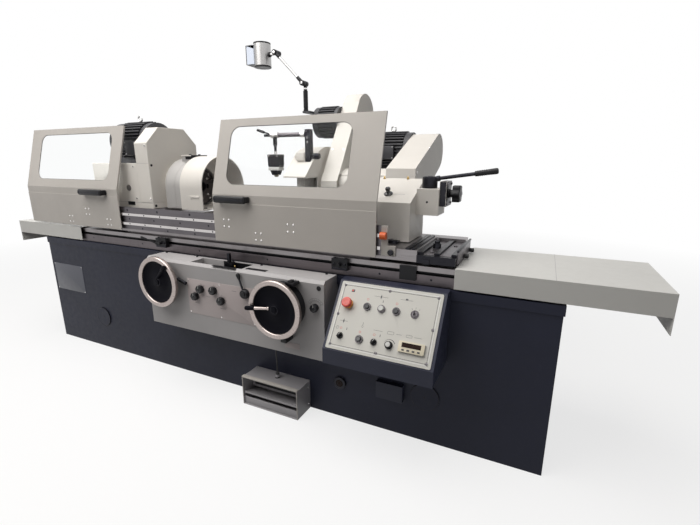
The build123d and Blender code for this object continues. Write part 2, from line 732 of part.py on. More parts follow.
def guard_band(x_span, depth, low, top):
    """Flat part of a guard between two heights, from its face inwards by a depth."""
    outer = [(guard_face_y(low), low), (guard_face_y(top), top)]
    inner = [(y + depth, z) for y, z in reversed(outer)]
    return prism_x(outer + inner, x_span)


def guard_sheet(x_span, low, top, return_low):
    """Flat sheet of a guard with a shallow return at both ends."""
    sheet = guard_band(x_span, GUARD_SHEET, low, top)
    for end in (x_span[0], x_span[1] - GUARD_SHEET):
        sheet += guard_band((end, end + GUARD_SHEET), GUARD_FLANGE, return_low, top)
    return sheet


def window_cutter(x_span, grow, depth_span):
    """A rounded window through the leaning part of a guard, or its pane."""
    tilt = math.degrees(math.atan2(GUARD_LEAN, GUARD_TOP - GUARD_FOLD))
    middle_z = (WINDOW_LOW + WINDOW_TOP) / 2
    middle_y = guard_face_y(middle_z)
    width = x_span[1] - x_span[0] + 2 * grow
    height = (WINDOW_TOP - WINDOW_LOW) / math.cos(math.radians(tilt)) + 2 * grow
    inward = (0, math.cos(math.radians(tilt)), -math.sin(math.radians(tilt)))
    plane = Plane(origin=((x_span[0] + x_span[1]) / 2, middle_y, middle_z), x_dir=(1, 0, 0), z_dir=inward)
    face = plane.offset(depth_span[0]) * RectangleRounded(width, height, WINDOW_CORNER + grow)
    return extrude(face, amount=depth_span[1] - depth_span[0])


def guard_panel(x_span, window_x, handle_x, carriages):
    """Guard of an upright sheet and a leaning window sheet, with its handle and its rail carriages."""
    upright = guard_sheet(x_span, GUARD_LOW, GUARD_FOLD, RAIL_PLATE_TOP + CARRIAGE_MARGIN)
    leaning = guard_sheet(x_span, GUARD_FOLD, GUARD_TOP, GUARD_FOLD)
    leaning -= window_cutter(window_x, 0, (-GUARD_FLANGE, GUARD_FLANGE))
    handle_z = (HANDLE_Z - HANDLE_HEIGHT / 2, HANDLE_Z + HANDLE_HEIGHT / 2)
    handle = block(handle_x, (HANDLE_Y, HANDLE_Y + HANDLE_BAR), handle_z)
    for foot in (handle_x[0], handle_x[1] - HANDLE_HEIGHT):
        handle += block((foot, foot + HANDLE_HEIGHT), (HANDLE_Y, GUARD_FACE), handle_z)
    pieces = [upright, leaning, handle]
    for rail_z, places in zip((RAIL_UPPER_Z, RAIL_LOWER_Z), carriages):
        for x in places:
            pieces.append(rail_carriage(x, rail_z))
    return Compound(children=pieces)


def rail_carriage(x, rail_z):
    """Block behind a guard, grooved to run on one rail."""
    x_span = (x - CARRIAGE_LENGTH / 2, x + CARRIAGE_LENGTH / 2)
    half = RAIL_HEIGHT / 2 + CARRIAGE_MARGIN
    carriage = block(x_span, (GUARD_BACK, RAIL_PLATE_FRONT - SLIDE_GAP), (rail_z - half, rail_z + half))
    groove = RAIL_HEIGHT / 2 + SLIDE_GAP
    groove_y = (RAIL_FACE - SLIDE_GAP, RAIL_PLATE_FRONT)
    return carriage - block(x_span, groove_y, (rail_z - groove, rail_z + groove))


def guard_pane(window_x):
    """Clear pane against the inside of a guard."""
    return window_cutter(window_x, PANE_LAP, (pane_seat(), pane_seat() + PANE_THICK))


def pane_seat():
    """Depth of the guard sheet, measured square to its leaning part."""
    tilt = math.atan2(GUARD_LEAN, GUARD_TOP - GUARD_FOLD)
    return GUARD_SHEET * math.cos(tilt)


def headstock_body():
    """Headstock casting: drive end, plinth, neck and the rear of the tapered nose."""
    y_span = (HEAD_FRONT, HEAD_BACK)
    body = block((HEAD_LEFT, HEAD_BODY_RIGHT), y_span, (HEAD_BOTTOM, HEAD_BODY_TOP))
    body += block((HEAD_LEFT, HEAD_COVER_RIGHT), y_span, (HEAD_BOTTOM, HEAD_PLINTH_TOP))
    body += nose_part((HEAD_COVER_RIGHT, NOSE_POCKET_LEFT))
    hollow_x = (HEAD_LEFT + HEAD_WALL, HEAD_BODY_RIGHT - HEAD_WALL)
    hollow_y = (HEAD_FRONT + HEAD_WALL, HEAD_BACK - HEAD_WALL)
    hollow = block(hollow_x, hollow_y, (HEAD_BOTTOM + HEAD_WALL, HEAD_BODY_TOP - HEAD_WALL))
    body -= hollow - rod_x(hollow_x, 0, AXIS_Z, HEAD_TUBE_R)
    return body - rod_x((HEAD_LEFT, NOSE_POCKET_LEFT), 0, AXIS_Z, SPINDLE_R + RUN_GAP)


def chuck_hood():
    """Front of the headstock nose round the chuck, and the hood bolted to it."""
    ring = nose_part((NOSE_POCKET_LEFT, HOOD_LEFT))
    hood = extrude(arch_face(HOOD_LEFT, HOOD_R), amount=HOOD_RIGHT - HOOD_LEFT)
    inside = arch_face(HOOD_LEFT + HOOD_WALL, HOOD_R - HOOD_WALL, HEAD_BOTTOM + HOOD_WALL)
    hood -= extrude(inside, amount=HOOD_RIGHT - HOOD_LEFT - HOOD_WALL)
    pocket_x = (NOSE_POCKET_LEFT, HOOD_LEFT + HOOD_WALL)
    pocket = rod_x(pocket_x, 0, AXIS_Z, CHUCK_R + CHUCK_CLEARANCE)
    return Compound(children=[ring - pocket, hood - pocket])


def nose_part(x_span):
    """Length of the tapered nose between two X limits, with its share of the lug."""
    lug_y = (-NOSE_LUG_WIDTH / 2, NOSE_LUG_WIDTH / 2)
    lug_top = AXIS_Z + NOSE_REAR_R + NOSE_LUG_RISE
    nose = tapered_nose() + block((HOOD_LEFT - NOSE_LUG_LENGTH, HOOD_LEFT), lug_y, (AXIS_Z, lug_top))
    return nose & block(x_span, (-NOSE_REAR_R, NOSE_REAR_R), (HEAD_BOTTOM, lug_top))


def tapered_nose():
    """Nose of the headstock: a narrow neck, then half a cone on straight tapered sides."""
    neck = extrude(arch_face(HEAD_COVER_RIGHT, NOSE_NECK_R), amount=NOSE_LEFT - HEAD_COVER_RIGHT)
    rear = Plane(origin=(NOSE_LEFT, 0, AXIS_Z), x_dir=(0, 1, 0), z_dir=(1, 0, 0))
    along = (Align.CENTER, Align.CENTER, Align.MIN)
    cone = rear * Cone(NOSE_REAR_R, NOSE_FRONT_R, HOOD_LEFT - NOSE_LEFT, align=along)
    upper = block((NOSE_LEFT, HOOD_LEFT), (-NOSE_REAR_R, NOSE_REAR_R), (AXIS_Z, AXIS_Z + NOSE_REAR_R))
    corners = [(NOSE_LEFT, -NOSE_REAR_R), (HOOD_LEFT, -NOSE_FRONT_R),
               (HOOD_LEFT, NOSE_FRONT_R), (NOSE_LEFT, NOSE_REAR_R)]
    base = Plane.XY.offset(HEAD_BOTTOM) * make_face(Polyline(*corners, close=True))
    return neck + (cone & upper) + extrude(base, amount=AXIS_Z - HEAD_BOTTOM)


def arch_face(x, radius, low=HEAD_BOTTOM):
    """Arched outline round the work axis, with straight sides down to a base."""
    sides = Polyline((-radius, AXIS_Z), (-radius, low), (radius, low), (radius, AXIS_Z))
    top = ThreePointArc((radius, AXIS_Z), (0, AXIS_Z + radius), (-radius, AXIS_Z))
    return Plane.YZ.offset(x) * make_face(sides.edges() + top.edges())


def headstock_cover():
    """Belt cover between the drive end and the nose, open towards the drive end."""
    x_span = (HEAD_BODY_RIGHT, HEAD_COVER_RIGHT)
    cover = prism_x(cover_outline(0), x_span)
    cover -= prism_x(cover_outline(HEAD_COVER_WALL), (x_span[0], x_span[1] - HEAD_COVER_WALL))
    cover -= rod_x(x_span, 0, AXIS_Z, SPINDLE_R + SLIDE_GAP)
    return cover


def cover_outline(wall):
    """Chamfered outline of the headstock belt cover, drawn in by a wall."""
    front, back = HEAD_FRONT + wall, HEAD_BACK - wall
    low, top = HEAD_PLINTH_TOP + wall, HEAD_COVER_TOP - wall
    cut = HEAD_COVER_CHAMFER
    shoulders = [(back, top - cut), (back - cut, top), (front + cut, top), (front, top - cut)]
    return [(front, low), (back, low), *shoulders]


def headstock_motor():
    """Finned motor on the headstock, with its foot and lifting eye."""
    x_span = (HEAD_BODY_RIGHT - HEAD_MOTOR_LENGTH, HEAD_BODY_RIGHT)
    y, z = HEAD_MOTOR_Y, HEAD_MOTOR_Z
    motor = finned_motor(x_span, y, z, HEAD_MOTOR_R, HEAD_MOTOR_FIN, HEAD_MOTOR_FINS)
    foot_y = (y - HEAD_MOTOR_R * 0.7, y + HEAD_MOTOR_R * 0.7)
    motor += block(x_span, foot_y, (HEAD_BODY_TOP, HEAD_MOTOR_Z - HEAD_MOTOR_R * 0.6))
    eye_z = HEAD_MOTOR_Z + HEAD_MOTOR_R + HEAD_MOTOR_FIN * 0.4
    motor += eye_bolt((x_span[0] + x_span[1]) / 2, y, eye_z)
    bore = (HEAD_BODY_RIGHT - BELT_PULLEY_WIDTH, HEAD_BODY_RIGHT)
    motor -= rod_x(bore, y, z, MOTOR_SHAFT_R + RUN_GAP)
    return motor


def headstock_pulley():
    """Motor shaft and pulley inside the headstock belt cover."""
    pulley_x = pulley_span()
    shaft_x = (HEAD_BODY_RIGHT - BELT_PULLEY_WIDTH + SLIDE_GAP, pulley_x[1])
    shaft = rod_x(shaft_x, HEAD_MOTOR_Y, HEAD_MOTOR_Z, MOTOR_SHAFT_R)
    return shaft + grooved_pulley(pulley_x, HEAD_MOTOR_Y, HEAD_MOTOR_Z, MOTOR_PULLEY_R)


def pulley_span():
    """X limits of the pulleys inside the headstock belt cover."""
    middle = (HEAD_BODY_RIGHT + HEAD_COVER_RIGHT) / 2
    return (middle - BELT_PULLEY_WIDTH / 2, middle + BELT_PULLEY_WIDTH / 2)


def grooved_pulley(x_span, y, z, radius):
    """Pulley along X with three belt grooves."""
    pulley = rod_x(x_span, y, z, radius)
    pitch = (x_span[1] - x_span[0]) / 3
    for index in range(3):
        left = x_span[0] + pitch * (index + 0.25)
        groove_x = (left, left + pitch / 2)
        pulley -= rod_x(groove_x, y, z, radius) - rod_x(groove_x, y, z, radius * 0.86)
    return pulley


def work_spindle():
    """Work spindle with its belt pulley and nose."""
    nose_x = (NOSE_POCKET_LEFT, CHUCK_LEFT)
    spindle = rod_x((HEAD_LEFT, CHUCK_LEFT), 0, AXIS_Z, SPINDLE_R)
    spindle += rod_x(nose_x, 0, AXIS_Z, SPINDLE_NOSE_R)
    spindle += grooved_pulley(pulley_span(), 0, AXIS_Z, WORK_PULLEY_R)
    return spindle


def chuck():
    """Three-jaw chuck with a ring of tapped holes in its face."""
    face_x = CHUCK_LEFT + CHUCK_LENGTH
    body = rod_x((CHUCK_LEFT, face_x), 0, AXIS_Z, CHUCK_R)
    for index in range(3):
        turn = Pos(0, 0, AXIS_Z) * Rot(120.0 * index + 30.0, 0, 0)
        jaw = block((face_x, face_x + JAW_LENGTH), (-JAW_WIDTH / 2, JAW_WIDTH / 2), (JAW_INNER, JAW_OUTER))
        body += turn * jaw
    for index in range(CHUCK_HOLE_COUNT):
        turn = Pos(0, 0, AXIS_Z) * Rot(360.0 * index / CHUCK_HOLE_COUNT, 0, 0)
        body -= turn * rod_x((face_x - CHUCK_LENGTH / 2, face_x), 0, CHUCK_HOLE_PCD / 2, CHUCK_HOLE_R)
    body -= rod_x((face_x - CHUCK_BORE_DEPTH, face_x), 0, AXIS_Z, CHUCK_BORE_R)
    return body


def tailstock_body():
    """Tailstock casting with a sloped top, and the quill block behind it."""
    outline = [(TAIL_FRONT, TAIL_BASE_TOP), (TAIL_BACK, TAIL_BASE_TOP), (TAIL_BACK, TAIL_BACK_TOP),
               (TAIL_FRONT, TAIL_FRONT_TOP)]
    body = prism_x(outline, (TAIL_LEFT, TAIL_RIGHT))
    body -= rod_x((TAIL_LEFT, QUILL_NOSE_X + QUILL_LENGTH + 2 * QUILL_TRAVEL), 0, AXIS_Z, QUILL_R + RUN_GAP)
    block_y = (-QUILL_BLOCK_HALF, QUILL_BLOCK_HALF)
    quill_block = block((TAIL_RIGHT, QUILL_BLOCK_RIGHT), block_y, (QUILL_BLOCK_LOW, QUILL_BLOCK_TOP))
    flange_z = (KNOB_AXIS_Z - KNOB_FLANGE_HALF, KNOB_AXIS_Z + KNOB_FLANGE_HALF)
    flange_y = (-KNOB_FLANGE_HALF, KNOB_FLANGE_HALF)
    quill_block += block((QUILL_BLOCK_RIGHT, STAR_FACE), flange_y, flange_z)
    return body + quill_block


def tailstock_quill():
    """Quill with its centre."""
    quill = rod_x((QUILL_NOSE_X, QUILL_NOSE_X + QUILL_LENGTH), 0, AXIS_Z, QUILL_R)
    plane = Plane(origin=(QUILL_NOSE_X, 0, AXIS_Z), x_dir=(0, 1, 0), z_dir=(-1, 0, 0))
    cone = plane * Cone(CENTRE_R, CENTRE_R / 20, CENTRE_LENGTH, align=(Align.CENTER, Align.CENTER, Align.MIN))
    return quill + cone


def quill_lever():
    """Round hub on the quill block with a long raised lever and its grip."""
    hub = rod_z((HUB_LOW, HUB_LOW + HUB_HEIGHT), HUB_X, 0, HUB_R)
    start = Vector(HUB_X, 0, HUB_LOW + LEVER_SEAT)
    end = start + Vector(LEVER_REACH, 0, LEVER_RISE)
    along = (end - start).normalized()
    lever = hub + rod_between(tuple(start), tuple(end), LEVER_R)
    return lever + rod_between(tuple(end - along * GRIP_LENGTH), tuple(end), GRIP_R)


def quill_knob():
    """Black star knob behind the quill block."""
    knob_x = (STAR_FACE + STAR_NECK, STAR_FACE + STAR_NECK + STAR_KNOB_LENGTH)
    knob = rod_x((STAR_FACE, knob_x[0]), 0, KNOB_AXIS_Z, STAR_NECK_R)
    knob += rod_x(knob_x, 0, KNOB_AXIS_Z, STAR_KNOB_R - STAR_LOBE_R / 2)
    for index in range(STAR_LOBES):
        turn = Pos(0, 0, KNOB_AXIS_Z) * Rot(360.0 * index / STAR_LOBES, 0, 0)
        knob += turn * rod_x(knob_x, 0, STAR_KNOB_R - STAR_LOBE_R, STAR_LOBE_R)
    return knob


def clamp_knob():
    """Knob square to the sloped top of the tailstock."""
    slope = (TAIL_BACK_TOP - TAIL_FRONT_TOP) / (TAIL_BACK - TAIL_FRONT)
    seat_z = TAIL_FRONT_TOP + (CLAMP_KNOB_Y - TAIL_FRONT) * slope
    plane = Plane(origin=(CLAMP_KNOB_X, CLAMP_KNOB_Y, seat_z), x_dir=(1, 0, 0), z_dir=(0, -slope, 1))
    skirt = extrude(plane * Circle(CLAMP_KNOB_R), amount=CLAMP_KNOB_HEIGHT / 3)
    return skirt + extrude(plane * Circle(CLAMP_KNOB_R * 0.6), amount=CLAMP_KNOB_HEIGHT)


def trip_dog(x):
    """Dog clamped in the front slot of the table."""
    x_span = (x - DOG_LENGTH / 2, x + DOG_LENGTH / 2)
    z_span = (DOG_SLOT_Z - DOG_HEIGHT / 2, DOG_SLOT_Z + DOG_HEIGHT / 2)
    dog = block(x_span, (TABLE_FRONT - DOG_DEPTH, TABLE_FRONT), z_span)
    tongue = DOG_SLOT_NECK / 2 - SLIDE_GAP
    tongue_z = (DOG_SLOT_Z - tongue, DOG_SLOT_Z + tongue)
    dog += block(x_span, (TABLE_FRONT, TABLE_FRONT + DOG_SLOT_STEP), tongue_z)
    screw_y = (TABLE_FRONT - DOG_DEPTH - DOG_SCREW_LENGTH, TABLE_FRONT - DOG_DEPTH)
    dog += rod_y(screw_y, x, DOG_SLOT_Z, DOG_SCREW_R)
    return dog


def apron_housing():
    """Gear housing on the bed front, with bores for the control shafts and a pan in its top."""
    x_span = (APRON_LEFT, APRON_RIGHT)
    outline = [(BED_FRONT + RIM_PROUD, APRON_LOW), (BED_FRONT + RIM_PROUD, RIM_LOW), (BED_FRONT, RIM_LOW),
               (BED_FRONT, APRON_TOP), (APRON_FRONT + APRON_EDGE, APRON_TOP),
               (APRON_FRONT, APRON_TOP - APRON_EDGE), (APRON_FRONT, APRON_LOW)]
    housing = prism_x(outline, x_span)
    pan_x, pan_y = APRON_PAN[:2], APRON_PAN[2:]
    housing -= block(pan_x, pan_y, (APRON_TOP - APRON_PAN_DEPTH, APRON_TOP))
    shafts = [(TABLE_WHEEL_X, TABLE_WHEEL_Z, WHEEL_SHAFT_R, WHEEL_SHAFT_IN)]
    shafts.append((INFEED_WHEEL_X, INFEED_WHEEL_Z, WHEEL_SHAFT_R, WHEEL_SHAFT_IN))
    shafts.append((START_LEVER_X, START_LEVER_Z, VALVE_STEM_R, VALVE_STEM_IN))
    shafts.append((FEED_KNOB_X, FEED_KNOB_Z, VALVE_STEM_R, VALVE_STEM_IN))
    for x, z in VALVE_PLACES:
        shafts.append((x, z, VALVE_STEM_R, VALVE_STEM_IN))
    for x, z, radius, depth in shafts:
        housing -= rod_y((APRON_FRONT, APRON_FRONT + depth + SLIDE_GAP), x, z, radius + RUN_GAP)
    hollow_y = (APRON_FRONT + APRON_FRONT_WALL, BED_FRONT + RIM_PROUD - APRON_WALL)
    hollow_z = (APRON_LOW + APRON_WALL, APRON_TOP - APRON_PAN_DEPTH - APRON_WALL)
    housing -= block((APRON_LEFT + APRON_WALL, APRON_RIGHT - APRON_WALL), hollow_y, hollow_z)
    pin_y = (pan_y[1], pan_y[1] + REVERSE_PIN_IN + SLIDE_GAP)
    return housing - rod_y(pin_y, REVERSE_X, reverse_axis_z(), REVERSE_PIN_R + RUN_GAP)


def reverse_axis_z():
    """Height of the reversing lever's pin above the floor of the apron pan."""
    return APRON_TOP - APRON_PAN_DEPTH + REVERSE_LIFT + REVERSE_HUB_R


def handwheel(x, z, rim_y, back_y):
    """Handwheel: rim ring, dished web, hub, crank handle and shaft."""
    rim_depth = 2 * WHEEL_RIM_SECTION
    rim_span = (rim_y, rim_y + rim_depth)
    wheel = rod_y(rim_span, x, z, WHEEL_RIM_R)
    wheel -= rod_y(rim_span, x, z, WHEEL_RIM_R - 2 * WHEEL_RIM_SECTION)
    web_y = (rim_y + rim_depth - WHEEL_WEB, rim_y + rim_depth)
    wheel += rod_y(web_y, x, z, WHEEL_RIM_R - WHEEL_RIM_SECTION)
    wheel += rod_y((rim_y, back_y), x, z, WHEEL_HUB_R)
    wheel += rod_y((back_y, back_y + WHEEL_SHAFT_IN), x, z, WHEEL_SHAFT_R)
    return wheel


def crank(x, z, rim_y, turn):
    """Crank handle on a handwheel web, turned about the wheel axis from straight up."""
    handle_x = x + CRANK_R * math.sin(math.radians(turn))
    handle_z = z + CRANK_R * math.cos(math.radians(turn))
    web_y = rim_y + 2 * WHEEL_RIM_SECTION
    handle_y = (web_y - WHEEL_WEB - CRANK_HANDLE_LENGTH, web_y - WHEEL_WEB)
    return rod_y(handle_y, handle_x, handle_z, CRANK_HANDLE_R)


def table_handwheel():
    """Handwheel that moves the table along."""
    rim_y = APRON_WHEEL_Y - 2 * WHEEL_RIM_SECTION
    wheel = handwheel(TABLE_WHEEL_X, TABLE_WHEEL_Z, rim_y, APRON_FRONT)
    return wheel + crank(TABLE_WHEEL_X, TABLE_WHEEL_Z, rim_y, TABLE_CRANK_TURN)


def infeed_handwheel():
    """Handwheel with a graduated drum that feeds the wheelhead."""
    rim_y = INFEED_WHEEL_Y - 2 * WHEEL_RIM_SECTION
    wheel = handwheel(INFEED_WHEEL_X, INFEED_WHEEL_Z, rim_y, APRON_FRONT)
    drum_y = (INFEED_WHEEL_Y, APRON_FRONT)
    drum = rod_y(drum_y, INFEED_WHEEL_X, INFEED_WHEEL_Z, INFEED_DRUM_R)
    drum -= rod_y(drum_y, INFEED_WHEEL_X, INFEED_WHEEL_Z, INFEED_DRUM_R - INFEED_DRUM_WALL)
    wheel += drum
    return wheel + crank(INFEED_WHEEL_X, INFEED_WHEEL_Z, rim_y, INFEED_CRANK_TURN)


def stemmed_knob(x, z, radius):
    """Round knob on the apron front with a stem in its bore."""
    knob = rod_y((APRON_FRONT - VALVE_LENGTH, APRON_FRONT), x, z, radius)
    return knob + rod_y((APRON_FRONT, APRON_FRONT + VALVE_STEM_IN), x, z, VALVE_STEM_R)


def start_lever():
    """Round hub on the apron front with a thin stick and a ball."""
    hub_y = (APRON_FRONT - START_HUB_LENGTH, APRON_FRONT)
    lever = rod_y(hub_y, START_LEVER_X, START_LEVER_Z, START_HUB_R)
    lever += rod_y((APRON_FRONT, APRON_FRONT + VALVE_STEM_IN), START_LEVER_X, START_LEVER_Z, VALVE_STEM_R)
    middle = (hub_y[0] + hub_y[1]) / 2
    lean = math.radians(START_STICK_LEAN)
    end = (START_LEVER_X - START_STICK_LENGTH * math.sin(lean), middle,
           START_LEVER_Z + START_STICK_LENGTH * math.cos(lean))
    lever += rod_between((START_LEVER_X, middle, START_LEVER_Z), end, START_STICK_R)
    return lever + Pos(*end) * Sphere(START_BALL_R)


def reversing_lever():
    """Lever in the apron pan that stands up between the dogs."""
    back = APRON_PAN[3]
    hub_z = reverse_axis_z()
    lever = rod_y((REVERSE_Y - REVERSE_ARM_WIDTH, back), REVERSE_X, hub_z, REVERSE_HUB_R)
    lever += rod_y((back, back + REVERSE_PIN_IN), REVERSE_X, hub_z, REVERSE_PIN_R)
    arm_x = (REVERSE_X - REVERSE_ARM_WIDTH / 2, REVERSE_X + REVERSE_ARM_WIDTH / 2)
    arm_y = (REVERSE_Y - REVERSE_ARM_WIDTH / 2, REVERSE_Y + REVERSE_ARM_WIDTH / 2)
    return lever + block(arm_x, arm_y, (hub_z, hub_z + REVERSE_ARM))


def panel_plane(x, down, lift=0.0):
    """A plane on the tilted panel, its z axis pointing out of the panel."""
    origin = Vector(x, PANEL_TOP_Y, PANEL_TOP_Z) + PANEL_DOWN * down + PANEL_OUT * lift
    return Plane(origin=origin, x_dir=(1, 0, 0), z_dir=PANEL_OUT)


def panel_rod(x, down, lift, height, radius):
    """A cylinder that stands square to the panel, from a lift above the box face."""
    return extrude(panel_plane(x, down, lift) * Circle(radius), amount=height)


def control_box():
    """Control box, its panel plate with bezels and display, and the bracket under it."""
    outline = [(BED_FRONT + RIM_PROUD, BOX_LOW), (BED_FRONT + RIM_PROUD, RIM_LOW), (BED_FRONT, RIM_LOW),
               (BED_FRONT, BOX_BACK_TOP), (PANEL_TOP_Y, PANEL_TOP_Z),
               (PANEL_FOOT_Y, PANEL_FOOT_Z), (PANEL_FOOT_Y, BOX_LOW)]
    box = prism_x(outline, (BOX_LEFT, BOX_RIGHT))
    box -= prism_x(outline, (BOX_LEFT + BOX_SHEET, BOX_RIGHT - BOX_SHEET), BOX_SHEET)
    middle = panel_plane((BOX_LEFT + BOX_RIGHT) / 2, PANEL_SLOPE / 2)
    width = BOX_RIGHT - BOX_LEFT - 2 * PANEL_MARGIN
    plate_face = RectangleRounded(width, PANEL_SLOPE - PANEL_MARGIN, PANEL_MARGIN / 2)
    plate = extrude(middle * plate_face, amount=PANEL_PLATE)
    for x, down in button_places():
        ring = panel_rod(x, down, PANEL_PLATE, BEZEL_RISE, BEZEL_R)
        plate += ring
        plate -= panel_rod(x, down, PANEL_PLATE + BUTTON_FLOOR, BEZEL_RISE, BUTTON_R + SLIDE_GAP)
    display_face = RectangleRounded(DISPLAY_WIDTH, DISPLAY_HEIGHT, DISPLAY_CORNER)
    display = panel_plane(DISPLAY_X, DISPLAY_DOWN, PANEL_PLATE) * display_face
    plate += extrude(display, amount=DISPLAY_RISE)
    bracket_y = (BED_FRONT + RIM_PROUD - BOX_BRACKET_DEPTH, BED_FRONT + RIM_PROUD)
    bracket = block(BOX_BRACKET_X, bracket_y, (BOX_BRACKET_LOW, BOX_BRACKET_TOP))
    return Compound(children=[box, plate, bracket])


def button_places():
    """Panel places of the sliding buttons, with the emergency stop first."""
    upper = [(x, PANEL_ROW_1) for x in PANEL_COLUMNS[:4]]
    return upper + [(PANEL_COLUMNS[1], PANEL_ROW_2)]


def push_button(place):
    """Button cap that slides in its bezel."""
    lift = PANEL_PLATE + BUTTON_FLOOR + BUTTON_TRAVEL
    return panel_rod(*place, lift, BUTTON_RISE, BUTTON_R)


def emergency_stop():
    """Mushroom push button that slides in its bezel."""
    place = button_places()[0]
    stem_lift = PANEL_PLATE + BUTTON_FLOOR + BUTTON_TRAVEL
    stop = panel_rod(*place, stem_lift, STOP_LIFT + PANEL_PLATE - stem_lift, BUTTON_R)
    return stop + panel_rod(*place, STOP_LIFT + PANEL_PLATE, STOP_HEAD, STOP_R)


def selector(x, down, turn):
    """Rotary switch with a raised grip bar."""
    knob = panel_rod(x, down, PANEL_PLATE, SELECTOR_BASE, SELECTOR_R)
    grip_plane = panel_plane(x, down, PANEL_PLATE + SELECTOR_BASE) * Rot(0, 0, turn)
    return knob + extrude(grip_plane * Rectangle(SELECTOR_GRIP_WIDTH, 1.7 * SELECTOR_R), amount=SELECTOR_GRIP)


def speed_knob():
    """Round setting knob in the second row of the panel."""
    return panel_rod(PANEL_COLUMNS[3], PANEL_ROW_2, PANEL_PLATE, SPEED_KNOB_HEIGHT, SPEED_KNOB_R)


def foot_hood():
    """Foot switch hood, open to the front, with the cable gland on its top."""
    x_span = (FOOT_LEFT, FOOT_LEFT + FOOT_WIDTH)
    hood = block(x_span, (FOOT_FRONT, FOOT_BACK), (0, FOOT_HEIGHT))
    inner_x = (x_span[0] + FOOT_SHEET, x_span[1] - FOOT_SHEET)
    hood -= block(inner_x, (FOOT_FRONT, FOOT_BACK - FOOT_SHEET), (FOOT_SHEET, FOOT_HEIGHT - FOOT_SHEET))
    hood -= rod_x(x_span, treadle_pin_y(), TREADLE_REAR_Z, TREADLE_PIN_R + RUN_GAP)
    return hood + rod_z((FOOT_HEIGHT, FOOT_HEIGHT + GLAND_RISE), GLAND_X, GLAND_Y, GLAND_R)


def treadle_pin_y():
    """Depth of the treadle pin, clear of the hood's back."""
    return FOOT_BACK - FOOT_SHEET - TREADLE_GAP - 2 * TREADLE_PIN_R


def treadle():
    """Foot plate that tips on a cross pin."""
    plate_x = (FOOT_LEFT + FOOT_SHEET + TREADLE_GAP, FOOT_LEFT + FOOT_WIDTH - FOOT_SHEET - TREADLE_GAP)
    rear_y, front_y = treadle_pin_y(), FOOT_FRONT + TREADLE_GAP
    outline = [(rear_y, TREADLE_REAR_Z - TREADLE_THICK / 2), (rear_y, TREADLE_REAR_Z + TREADLE_THICK / 2),
               (front_y, TREADLE_FRONT_Z + TREADLE_THICK / 2), (front_y, TREADLE_FRONT_Z - TREADLE_THICK / 2)]
    pin = rod_x((FOOT_LEFT, FOOT_LEFT + FOOT_WIDTH), rear_y, TREADLE_REAR_Z, TREADLE_PIN_R)
    return prism_x(outline, plate_x) + pin


def foot_cable():
    """Cable from the gland straight up into the apron, with a slight bow."""
    low, high = FOOT_HEIGHT + GLAND_RISE, APRON_LOW
    step = (high - low) / 6
    sway = ((0, 0), (0, 0), (1, -0.7), (0.4, -1), (-0.8, -0.3), (0, 0), (0, 0))
    route = []
    for index, (across, out) in enumerate(sway):
        route.append((GLAND_X + across * CABLE_BOW, GLAND_Y + out * CABLE_BOW, low + index * step))
    points = [Vector(*point) for point in route]
    radii = []
    for before, point, after in zip(points, points[1:], points[2:]):
        turn = (point - before).get_angle(after - point)
        shorter = min((point - before).length, (after - point).length)
        radii.append(0.45 * shorter / math.tan(math.radians(turn) / 2))
    path = FilletPolyline(*points, radius=radii)
    start = Plane(origin=points[0], z_dir=path % 0)
    return sweep(start * Circle(CABLE_R), path=path)


def wheel_slide():
    """Cross slide on the rear bed, with the round seat of the wheelhead."""
    x_span = (SLIDE_LEFT, SLIDE_LEFT + SLIDE_WIDTH)
    slide = block(x_span, (SLIDE_FRONT, SLIDE_FRONT + SLIDE_DEPTH), (SLIDE_BOTTOM, SLIDE_TOP))
    return slide + rod_z((SLIDE_TOP, HEAD_CASE_BOTTOM), WHEELHEAD_PIVOT_X, WHEELHEAD_PIVOT_Y, SWIVEL_DISC_R)


def wheelhead_body():
    """Wheelhead casting, cut back below to pass over the table, with its spindle barrel."""
    y_span = (HEAD_CASE_FRONT, HEAD_CASE_BACK)
    x_span = (HEAD_CASE_LEFT, HEAD_CASE_RIGHT)
    body = block(x_span, y_span, (HEAD_CASE_BOTTOM, HEAD_CASE_TOP))
    body -= block(x_span, (HEAD_CASE_FRONT, HEAD_CASE_STEP_Y), (HEAD_CASE_BOTTOM, GUARD_CASE_LOW))
    body += rod_x(x_span, WHEEL_AXIS_Y, AXIS_Z, SPINDLE_BARREL_R)
    wall = HEAD_CASE_WALL
    hollow_x = (x_span[0] + wall, x_span[1] - wall)
    hollow_y = (HEAD_CASE_HOLLOW_FRONT, y_span[1] - wall)
    body -= block(hollow_x, hollow_y, (HEAD_CASE_BOTTOM + wall, HEAD_CASE_TOP - wall))
    return body - rod_x(x_span, WHEEL_AXIS_Y, AXIS_Z, WHEEL_SPINDLE_R + RUN_GAP)


